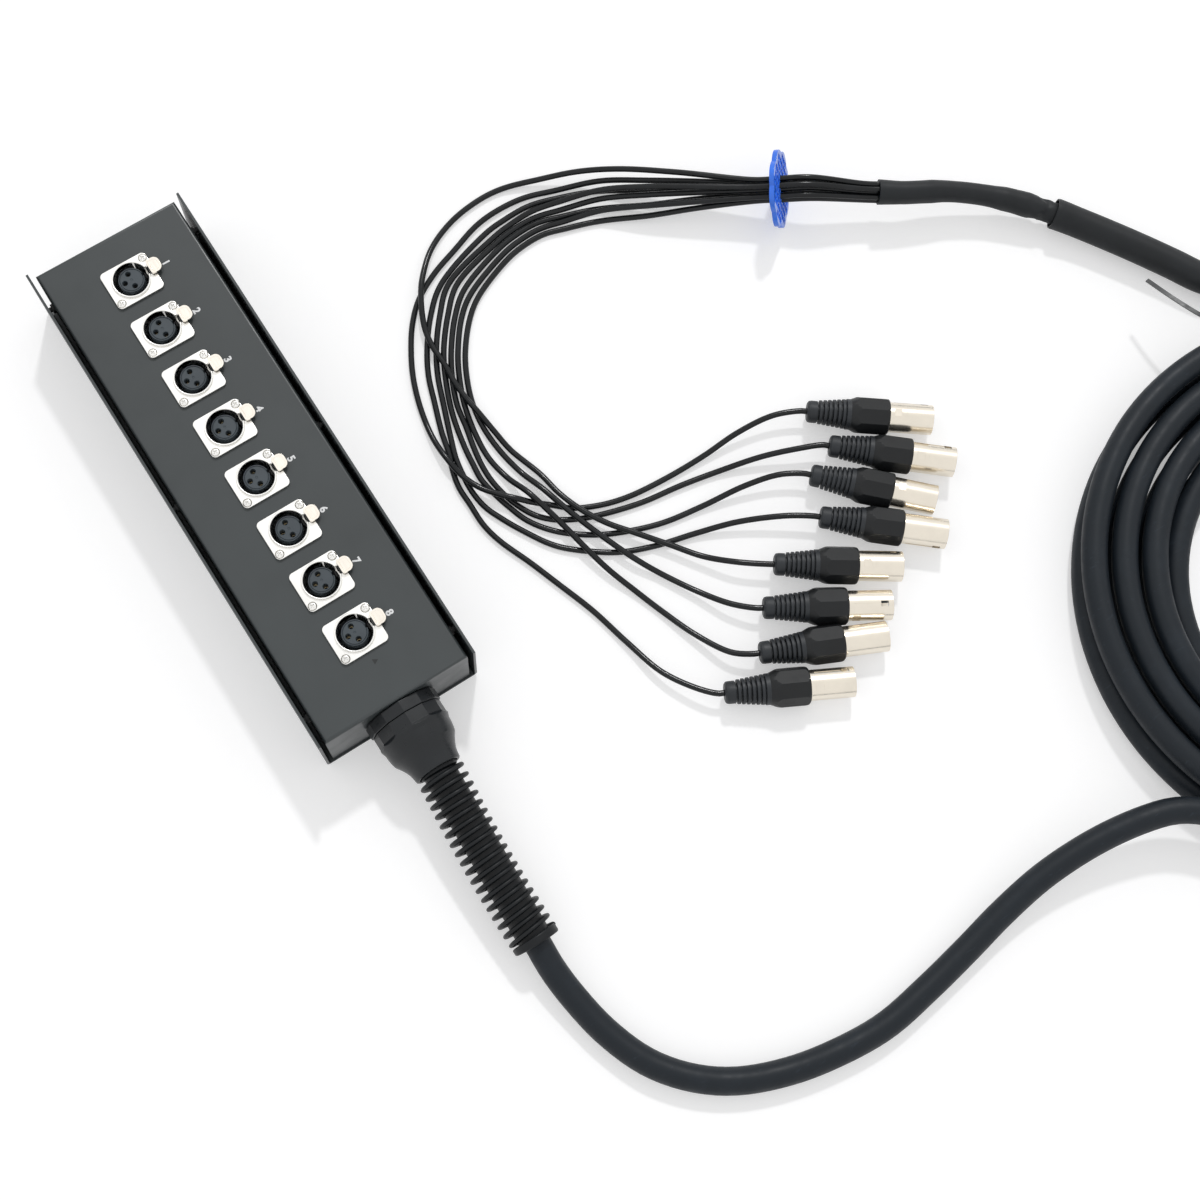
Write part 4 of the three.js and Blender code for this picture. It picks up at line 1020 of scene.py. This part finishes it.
class SNAKE_OT_sockets(bpy.types.Operator):
    """Eight panel sockets: housing, screws, contact insert, contacts, latch and latch tab"""

    bl_idname = "snake.sockets"
    bl_label = "Panel sockets"

    def execute(self, context):
        kinds = (
            (wear(self.housing(), "nickel"), "socket", "nickel", "socket_flange"),
            (wear(self.screws(), "screw"), "socket_screws", "nickel", None),
            (wear(self.insert(), "slate"), "insert", "slate", "socket_insert"),
            (wear(self.contacts(), "contact"), "contacts", "shell_metal", None),
            # Painted shade: the latch wears the black plug plastic so that it stands in for the dark
            # shade in the notch beside the tab
            (wear(self.latch(), "plug"), "latch", "slate", None),
            (wear(self.tab(), "tab"), "tab", "tab_metal", "latch_tab"),
        )
        for i in range(CHANNELS):
            set_out(kinds, i + 1, Matrix.Translation(at(socket_x(i), 0, 0)))
        for piece, *_ in kinds:
            bpy.data.objects.remove(piece)
        return {"FINISHED"}

    def housing(self):
        plate = block("housing", (-12.9, -15.5, FLANGE_LOW), (14, 15.5, FLANGE_TOP))
        softened(rounded(plate, 3, 8, upright), 0.3, 2)
        ring = [
            (BARREL, BARREL_END), (BARREL, 54.2), (12, 54.3), (12, 55.0), (BARREL, 55.5), (11.2, 55.5),
            (BORE, 55.1), (BORE, BARREL_END), (BARREL, BARREL_END),
        ]
        shaped(plate, turned("collar", ring, 64, 0.12), "UNION")
        bored(plate, [(BORE, 30), (BORE, 54.6)], 64)
        shaped(plate, block("notch", (-2.8, 8.5, 47), (2.8, 12.55, 58)))
        shaped(plate, block("stem", (-3, 12.4, 51), (3, 14.9, 56)))
        for place in SCREW_PLACES:
            bored(plate, [(1.3, 51), (1.3, 52.9), (2.75, 52.9), (2.75, 56)], 32, shift(*place))
        return softened(plate, 0.0, angle=40)

    def screws(self):
        heads = [phillips("head", place, 2.3, FLANGE_TOP + 0.3) for place in SCREW_PLACES]
        return joined("socket_screws", *heads)

    def insert(self):
        base, face = 32.1, 54.0
        stops = [
            (BARREL, base - 3), (BARREL, base), (8, base), (8, 53.1), (7.85, face), (7.4, face + 0.05),
            (7.2, 53.5), (6.95, 53.5), (6.8, 53.95), (0.9, face), (0.6, 53.7),
        ]
        post = turned("insert", stops, 48, 0.12)
        for place in CONTACT_PLACES:
            bored(post, [(1.45, 42.1), (1.45, 53.4), (2.0, 54.2), (2.0, 56)], 24, shift(*place))
        shaped(post, block("key", (-1.1, 7.0, 46), (1.1, 8.6, 58)))
        return softened(post, 0.0, angle=40)

    def contacts(self):
        rings = []
        for place in CONTACT_PLACES:
            ring = turned("contact", pipe(0.85, 1.35, 42.4, 48.6), 20, 0.1)
            rings.append(placed(ring, shift(*place)))
        return softened(joined("contacts", *rings), 0.0)

    def latch(self):
        low = 41.5
        latch = block("latch", (-1.6, 8.7, low), (1.6, 9.5, 49.6))
        rounded(latch, 0.6, 3, lambda a, b: a.z < 42 and b.z < 42 and a.y < 9 and b.y < 9)
        step = block("step", (-2.5, 9.3, low), (2.5, 10.4, 48))
        return softened(shaped(latch, step, "UNION"), 0.15, 1)

    def tab(self):
        plate = block("tab", (-5.5, 12.6, 55.3), (4.3, 20.3, 56.5))
        rounded(plate, 3.6, 10, lambda a, b: upright(a, b) and a.y > 20)
        rounded(plate, 1.3, 3, lambda a, b: upright(a, b) and a.y < 12.7 and b.y < 12.7)
        pick_faces(plate, lambda normal: normal.z > 0.9)
        bpy.ops.mesh.inset(thickness=1.15 * MM)
        bpy.ops.mesh.inset(thickness=TAB_HOLLOW * MM)
        bpy.ops.transform.translate(value=(0, 0, -TAB_HOLLOW * MM))
        rest()
        shaped(plate, block("stem", (-2.5, 12.9, 52.8), (2.5, 14.4, 55.9)), "UNION")
        return softened(plate, 0.22, 2, 40)


# Print on the panel, in millimetres: the digits' row, their lift and the triangle's place
DIGIT_ROW = 23.2
PRINT_LIFT = 0.01
MARK_PLACE = (144, 1.2, 0)


class SNAKE_OT_digits(bpy.types.Operator):
    """Printed digits 1 to 8 and the small triangle mark"""

    bl_idname = "snake.digits"
    bl_label = "Digits"

    def execute(self, context):
        marks = []
        for i in range(CHANNELS):
            rest()
            bpy.ops.object.text_add()
            text = bpy.context.object.data
            text.body = str(i + 1)
            text.size = context.scene.snake_sizes.digit * 1.6
            text.resolution_u = 4
            text.offset = 0.00024
            text.align_x = "CENTER"
            text.align_y = "CENTER"
            text.extrude = 0.00002
            bpy.ops.object.convert(target="MESH")
            place = at(socket_x(i), DIGIT_ROW, COVER["top"] + PRINT_LIFT + 0.025)
            marks.append(placed(bpy.context.object, Matrix.Translation(place)))
        digits = wear(joined("digits", *marks), "ink")
        fitted(digits, "nickel", "snake")
        low = COVER["top"] + PRINT_LIFT
        triangle = turned("triangle", [(2.1, low), (2.1, low + 0.04)], 3)
        placed(triangle, Matrix.Translation(at(*MARK_PLACE)))
        fitted(wear(triangle, "mark"), "black_paint", "snake")
        return {"FINISHED"}


# Gland, in millimetres from the middle of the box along the gland's axis
GLAND_INNER = 162.5
GLAND_FLANGE = 171.0
GLAND_THREAD = 186.0
GLAND_MOUTH = 214.0
GLAND_BORE = 8.8
LEAD_FROM = 164.3
RIBS = 18


class SNAKE_OT_gland(bpy.types.Operator):
    """Gland body, gripped cap and bend relief"""

    bl_idname = "snake.gland"
    bl_label = "Gland and bend relief"

    def execute(self, context):
        lie = Matrix.Translation(at(0, 0, GLAND_HEIGHT)) @ Matrix.Rotation(math.pi / 2, 4, "Y")
        fitted(wear(placed(self.body(), lie), "gland"), "gland_black", "snake", "gland_body")
        fitted(wear(placed(self.cap(), lie), "gland"), "gland_black", "snake", "gland_cap")
        fitted(wear(self.relief(context), "relief"), "relief_rubber", "snake", "bend_relief")
        return {"FINISHED"}

    def body(self):
        outline = [
            (GLAND_BORE, GLAND_INNER), (12, GLAND_INNER), (12, GLAND_FLANGE), (15.5, GLAND_FLANGE),
            (15.5, GLAND_THREAD), (GLAND_BORE, GLAND_THREAD), (GLAND_BORE, GLAND_INNER),
        ]
        tube = turned("gland_nut", outline, 48, 0.3)
        grips = turned("grips", [(23, 170.6), (23.5, 171.2), (23.5, 177.9), (23.1, 178.2)], 12)
        corner = 18 / math.cos(math.pi / 6)
        edge = corner * 0.95
        nut = turned("nut", [(edge, 164), (corner, 165), (corner, 167.7), (edge, 168.5)], 6)
        for part in (grips, nut):
            bored(part, [(11, 160), (11, 190)], 48)
            softened(part, 0.35, 2, 25)
        return softened(joined("gland_nut", tube, grips, nut), 0.0, angle=25)

    def cap(self):
        low = 178.5
        outline = [
            (15.9, low), (22.5, low), (22.85, 178.9), (22.85, 187.5), (21.9, 190.2), (21.7, 193),
            (21.3, 196), (20.6, 199), (18.6, 202), (16.9, 205), (15.7, 208), (15.1, 211), (14.9, 213),
            (14.45, GLAND_MOUTH), (12.9, GLAND_MOUTH), (12.7, 213.4), (12.7, 188.5), (15.9, 186.6),
            (15.9, low),
        ]
        cap = turned("gland_dome", outline, 96, 0.5)
        flats = turned("flats", [(22.5, 176), (22.5, 186), (24.6, 190.5), (24.6, 216)], 12)
        shaped(cap, flats, "INTERSECT")
        return softened(cap, 0.2, 2, 22)

    def relief(self, context):
        pitch = context.scene.snake_sizes.thread / MM
        bore, core, root = 9.3, 10.2, 10
        length = 3 + RIBS * pitch + 4.5
        outline = [
            (bore, -6), (11.8, -6), (11.8, 1), (core, 2), (core, length), (bore, length), (bore, -6),
        ]
        tube = turned("relief", outline, 40, 0.2)
        half = [(root, -1.7), (13.2, -1.4), (14.2, -1.15), (14.8, -0.65)]
        section = half + [(14.95, 0)] + [(r, -z) for r, z in reversed(half)]
        rib = primitive("circle", "rib", vertices=len(section), radius=MM)
        for vertex, (r, z) in zip(rib.data.vertices, section):
            vertex.co = (r * MM, 0, (z + 3.2) * MM)
        screw = rib.modifiers.new("thread", "SCREW")
        screw.angle = math.tau
        screw.screw_offset = pitch * MM
        screw.iterations = RIBS
        screw.steps = screw.render_steps = 40
        screw.use_merge_vertices = False
        screw.use_smooth_shade = True
        apply(rib, screw)
        editing(rib)
        bpy.ops.mesh.fill_holes(sides=0)
        bpy.ops.mesh.select_all(action="SELECT")
        bpy.ops.mesh.normals_make_consistent(inside=False)
        rest()
        outline = [
            (root, length - 4.6), (14.1, length - 4.6), (14.5, length - 3.9), (14.5, length - 0.8),
            (13.9, length), (root, length), (root, length - 4.6),
        ]
        relief = joined("relief", tube, rib, turned("end_ring", outline, 48, 0.5))
        bent_along(relief, LEAD_LINE, GLAND_MOUTH - LEAD_FROM)
        return softened(relief, 0.0, angle=40)


# Shrink sleeves: where each starts on the tail, its bore, the middle of its crumple, and its outside as
# distances from the start with a radius, all in millimetres
SMALL_START = 233
SLEEVES = {
    "large": (118, 8.9, 0.0, [
        (0, 9.6), (1, 9.85), (112, 9.75), (121, 9.95), (125.6, 10.05), (127, 9.8),
    ]),
    "small": (SMALL_START, 6.0, 18.0, [
        (0, 7.3), (18, 7.35), (25, 8.05), (32, 8.05), (39, 7.75), (46, 7.75), (54, 7.05), (62, 6.85),
        (80, 6.85), (88, 7.1), (95, 7.5), (103, 7.4), (116, 7.45), (124, 7.8),
        (line_length(TAIL_LINE) - SMALL_START, 8.1),
    ]),
}
RING_STEP = 1.4
INNER_RINGS = 46


class SNAKE_OT_sleeves(bpy.types.Operator):
    """Large and small shrink sleeves on the tail"""

    bl_idname = "snake.sleeves"
    bl_label = "Shrink sleeves"

    def execute(self, context):
        for size, measures in SLEEVES.items():
            piece = self.sleeve(f"sleeve_{size}", *measures)
            fitted(wear(piece, "shrink"), "shrink_tube", "snake", f"{size}_shrink_sleeve")
        return {"FINISHED"}

    def sleeve(self, name, start, inner, pinch, stops):
        """A tube along the tail, crumpled round its pinch where it has one."""
        long = stops[-1][0]
        profile = []
        for (near, low), (far, high) in zip(stops, stops[1:]):
            count = max(1, round((far - near) / RING_STEP))
            for i in range(count):
                share = i / count
                profile.append((low + (high - low) * share, near + (far - near) * share))
        profile.append((stops[-1][1], long))
        last = INNER_RINGS - 1
        profile += [(inner, long * (1 - i / last)) for i in range(INNER_RINGS)] + [profile[0]]
        piece = turned(name, profile, 48)
        for vertex in piece.data.vertices if pinch else ():
            x, y, z = vertex.co / MM
            radius = math.hypot(x, y)
            near = max(0.0, 1 - abs(z - pinch) / 13)
            crumple = noise.noise(Vector((x * 0.22, y * 0.22, z * 0.2 + 2 * pinch)))
            sink = min(0.0, max(2.4 * crumple - 0.8, inner + 0.4 - radius)) * near
            if radius > inner + 0.3:
                share = 1 + sink / radius
                vertex.co = Vector((x * share, y * share, z)) * MM
        bent_along(piece, TAIL_LINE, start)
        return softened(piece, 0.0, angle=50)


COMB = {"radius": 25.35, "thick": 3.2, "lobe": 2.4, "pitch": 4.9, "hole": 4.1, "holes_within": 21.0}


class SNAKE_OT_comb(bpy.types.Operator):
    """Blue comb with square holes"""

    bl_idname = "snake.comb"
    bl_label = "Comb"

    def execute(self, context):
        radius, thick = COMB["radius"], COMB["thick"]
        disc = primitive("cylinder", "comb", vertices=128, radius=radius * MM, depth=thick * MM)
        for vertex in disc.data.vertices:
            angle = math.atan2(vertex.co.y, vertex.co.x)
            share = 1 - COMB["lobe"] / radius * (1 - abs(math.cos(4 * angle)))
            vertex.co.x *= share
            vertex.co.y *= share
        holes = []
        half = COMB["hole"] / 2
        for row in range(-4, 5):
            for column in range(-4, 5):
                x, y = column * COMB["pitch"], row * COMB["pitch"]
                if math.hypot(x, y) <= COMB["holes_within"]:
                    hole = block("hole", (x - half, y - half, -3), (x + half, y + half, 3))
                    holes.append(hole)
        shaped(disc, joined("holes", *holes))
        softened(disc, 0.22, 2, 40)
        lean = math.radians(18.65)
        across = Vector((-0.7816, 0.6238, 0)).normalized()
        toward = -across.cross(UP).normalized()
        up = UP * math.cos(lean) + toward * math.sin(lean)
        height = radius * math.cos(lean) + thick / 2 * math.sin(lean)
        placed(disc, frame_of(at(10.4, 382.6, height), across, up, across.cross(up)))
        fitted(wear(disc, "comb"), "comb_blue", "snake", "cable_comb")
        return {"FINISHED"}


# Plugs, in millimetres from the end of the boot
BOOT_BORE = 2.05
BOOT_END = 27.6
BOOT_RIBS = 6


class SNAKE_OT_plugs(bpy.types.Operator):
    """Eight cable plugs: boot, barrel, shell, and pins on their insert"""

    bl_idname = "snake.plugs"
    bl_label = "Cable plugs"

    def execute(self, context):
        bodies = (
            (wear(self.boot(), "boot"), "boot", "plug_black", "plug_body"),
            (wear(self.barrel(), "plug"), "barrel", "plug_black", "plug_body"),
        )
        ends = (
            (wear(self.shell(), "shell"), "shell", "shell_metal", "plug_shell"),
            (wear(self.pins(), "slate", "contact"), "pins", "slate", None),
        )
        for i, (start, toward) in enumerate(PLUG_LAYS):
            foot = Vector((*start, PLUG_HEIGHT))
            along = (Vector((*toward, PLUG_HEIGHT)) - foot).normalized()
            lie = frame_of(at(*foot), along.cross(UP), -UP, along)
            set_out(bodies, i + 1, lie)
            set_out(ends, i + 1, lie @ Matrix.Rotation(math.radians(SHELL_ROLLS[i]), 4, "Z"))
        for piece, *_ in bodies + ends:
            bpy.data.objects.remove(piece)
        return {"FINISHED"}

    def boot(self):
        stops = [(BOOT_BORE, 0.0), (5.4, 0.0), (6.7, 0.9), (7.0, 2.6), (7.0, 6.4)]
        pitch = 17.4 / BOOT_RIBS
        for i in range(BOOT_RIBS):
            crest = 7.6 + (9.3 - 7.6) * i / 5
            root = crest - 2.5
            low = 6.4 + pitch * i
            stops += [(root, low), (root, low + 1.1), (crest, low + 1.1), (crest, low + pitch)]
        stops += [
            (7.9, 24.1), (7.9, 24.6), (9.65, 24.6), (9.65, BOOT_END), (BOOT_BORE, BOOT_END),
            (BOOT_BORE, 0.0),
        ]
        return softened(turned("boot", stops, 48, 0.28), 0.0, angle=40)

    def barrel(self):
        stops = [
            (9.3, 27.15), (9.75, 27.4), (11.3, 31), (12.1, 33.4), (12.12, 48.4), (11.7, 50.6),
            (10.6, 51.6),
        ]
        barrel = turned("barrel", stops, 96, 0.8)
        shaped(barrel, turned("flats", [(12.15, 20), (12.15, 60)], 8), "INTERSECT")
        shaped(barrel, block("foot", (-13, 11.12, 20), (13, 14, 60)))
        return softened(barrel, 0.18, 2, 24)

    def shell(self):
        tube = turned("shell", pipe(8.4, 9.5, 51.7, 79.2), 64, 0.25)
        aside = Matrix.Rotation(-math.radians(62), 4, "Z")
        deep = -12
        shaped(tube, placed(block("window", (-1.7, deep, 71.2), (1.7, -7, 75.8)), aside))
        shaped(tube, placed(block("groove", (-0.5, deep, 54.5), (0.5, -9.1, 70.9)), aside))
        shaped(tube, block("stamp", (-2.9, deep, 53.9), (2.9, -9.2, 59.3)))
        shaped(tube, block("line", (-3.6, deep, 61.7), (3.6, -9.3, 62)))
        shaped(tube, block("plain", (-2.45, -9.42, 54.35), (2.45, -8.8, 58.85)), "UNION")
        return marked_along(softened(tube, 0.0, angle=30))

    def pins(self):
        stops = [(8.05, 53.6), (8.05, 66.2), (7.7, 66.5), (1.0, 66.5), (0.8, 66.2)]
        core = turned("core", stops, 40, 0.15)
        pins = []
        for x, y in CONTACT_PLACES:
            pin = turned("pin", [(1.2, 66), (1.2, 77.4), (0.85, 78.3), (0.3, 78.5)], 20, 0.2)
            pins.append(placed(pin, shift(x, -y)))
        for piece in (core, *pins):
            for _ in range(2):
                piece.data.materials.append(None)
        for pin in pins:
            for face in pin.data.polygons:
                face.material_index = 1
        return softened(joined("pins", core, *pins), 0.0)


def marked_along(piece):
    """Stores each point's height on the straight piece, which its turned finish follows."""
    layer = piece.data.attributes.new("along", "FLOAT", "POINT")
    for vertex, value in zip(piece.data.vertices, layer.data):
        value.value = vertex.co.z
    return piece


TIE_ANGLE = 171.0


class SNAKE_OT_tie(bpy.types.Operator):
    """Tie round the coil with its head and loose end"""

    bl_idname = "snake.tie"
    bl_label = "Tie"

    def execute(self, context):
        angle = math.radians(TIE_ANGLE)
        radial = Vector((math.cos(angle), math.sin(angle), 0))
        radius = TRUNK / 2
        inner = COIL_RADIUS - COIL_PITCH * COIL_TURNS / 2 - radius + 2.5
        outer = COIL_RADIUS + radius - COIL_PITCH / 2 + 1.4
        low, high = 0.9, COIL_FLOOR + COIL_RISE + radius + 0.5
        band = block("tie", (inner, low, -1.8), (outer, high, 1.8))
        rounded(band, 16, 1, lambda a, b: upright(a, b) and a.y < high - 1 and a.x < outer - 1)
        rounded(band, 4, 5, upright)
        pick_faces(band, lambda normal: abs(normal.z) > 0.9)
        bpy.ops.mesh.delete(type="FACE")
        rest()
        softened(thickened(band, 0.8, 1, False), 0.15, 1)
        head = block("head", (outer - 9, high, -3), (outer - 3, high + 4.4, 3))
        shaped(head, block("way", (outer - 7.4, high - 1, -1.5), (outer - 4.6, high + 5.2, 1.5)))
        softened(head, 0.5, 3)
        middle = at(*COIL_CENTRE)
        placed(joined("tie", band, head), frame_of(middle, radial, UP, radial.cross(UP)))
        tail = self.tail(middle + radial * (outer - 6) * MM + UP * (high + 2.2) * MM)
        tie = joined("tie", band, tail)
        fitted(wear(tie, "tie"), "tie_black", "snake", "coil_tie")
        return {"FINISHED"}

    def tail(self, start):
        """The loose end, from the head to its tip beside the coil."""
        knots = [(start - ORIGIN) / MM]
        knots += vectors((240, 561, 41), (227.5, 553.8, 40.5), (207, 548, 36), (188.7, 545.2, 30))
        line = smooth_line(knots, 2)
        strip = block("strip", (-1.35, -0.4, 0), (1.35, 0.4, line_length(line)))
        editing(strip)
        bpy.ops.mesh.subdivide(number_cuts=24)
        rest()
        bent_along(strip, line, 0)
        return softened(strip, 0.0)


CARRIED = {
    "base_tray": "paint", "top_cover": "paint", "gland_body": "gland", "gland_cap": "gland",
    "bend_relief": "relief", "large_shrink_sleeve": "shrink", "small_shrink_sleeve": "shrink",
    "cable_comb": "comb", "coil_tie": "tie", "socket_flange": "nickel", "socket_insert": "slate",
    "latch_tab": "tab", "plug_body": "plug", "plug_shell": "shell",
}


class SNAKE_OT_carried(bpy.types.Operator):
    """Finishes of the solids that stay as they are"""

    bl_idname = "snake.carried"
    bl_label = "Carried solids"

    def execute(self, context):
        for name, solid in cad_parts.items():
            kind = name.rstrip("_0123456789")
            if kind in CARRIED:
                wear(solid, CARRIED[kind])
        return {"FINISHED"}


class SNAKE_PT_panel(bpy.types.Panel):
    """Stage box snake"""

    bl_label = "Stage box snake"
    bl_space_type = "VIEW_3D"
    bl_region_type = "UI"
    bl_category = "Snake"

    def draw(self, context):
        for kind in PIECES:
            self.layout.operator(kind.bl_idname)
        for group in (context.scene.snake_sizes, context.scene.snake_finishes):
            for key in group.__annotations__:
                self.layout.prop(group, key)


PIECES = (
    SNAKE_OT_stage, SNAKE_OT_carried, SNAKE_OT_box, SNAKE_OT_sockets, SNAKE_OT_digits, SNAKE_OT_gland,
    SNAKE_OT_sleeves, SNAKE_OT_comb, SNAKE_OT_plugs, SNAKE_OT_tie, SNAKE_OT_trunk, SNAKE_OT_cords,
)
CLASSES = (SNAKE_Sizes, SNAKE_Finishes, *PIECES, SNAKE_PT_panel)


def register():
    for kind in CLASSES:
        bpy.utils.register_class(kind)
    bpy.types.Scene.snake_sizes = bpy.props.PointerProperty(type=SNAKE_Sizes)
    bpy.types.Scene.snake_finishes = bpy.props.PointerProperty(type=SNAKE_Finishes)


def unregister():
    del bpy.types.Scene.snake_finishes
    del bpy.types.Scene.snake_sizes
    for kind in reversed(CLASSES):
        bpy.utils.unregister_class(kind)


def main():
    register()
    make_finishes(bpy.context.scene.snake_finishes)
    for kind in PIECES:
        group, name = kind.bl_idname.split(".")
        getattr(getattr(bpy.ops, group), name)()


if __name__ == "__main__":
    main()
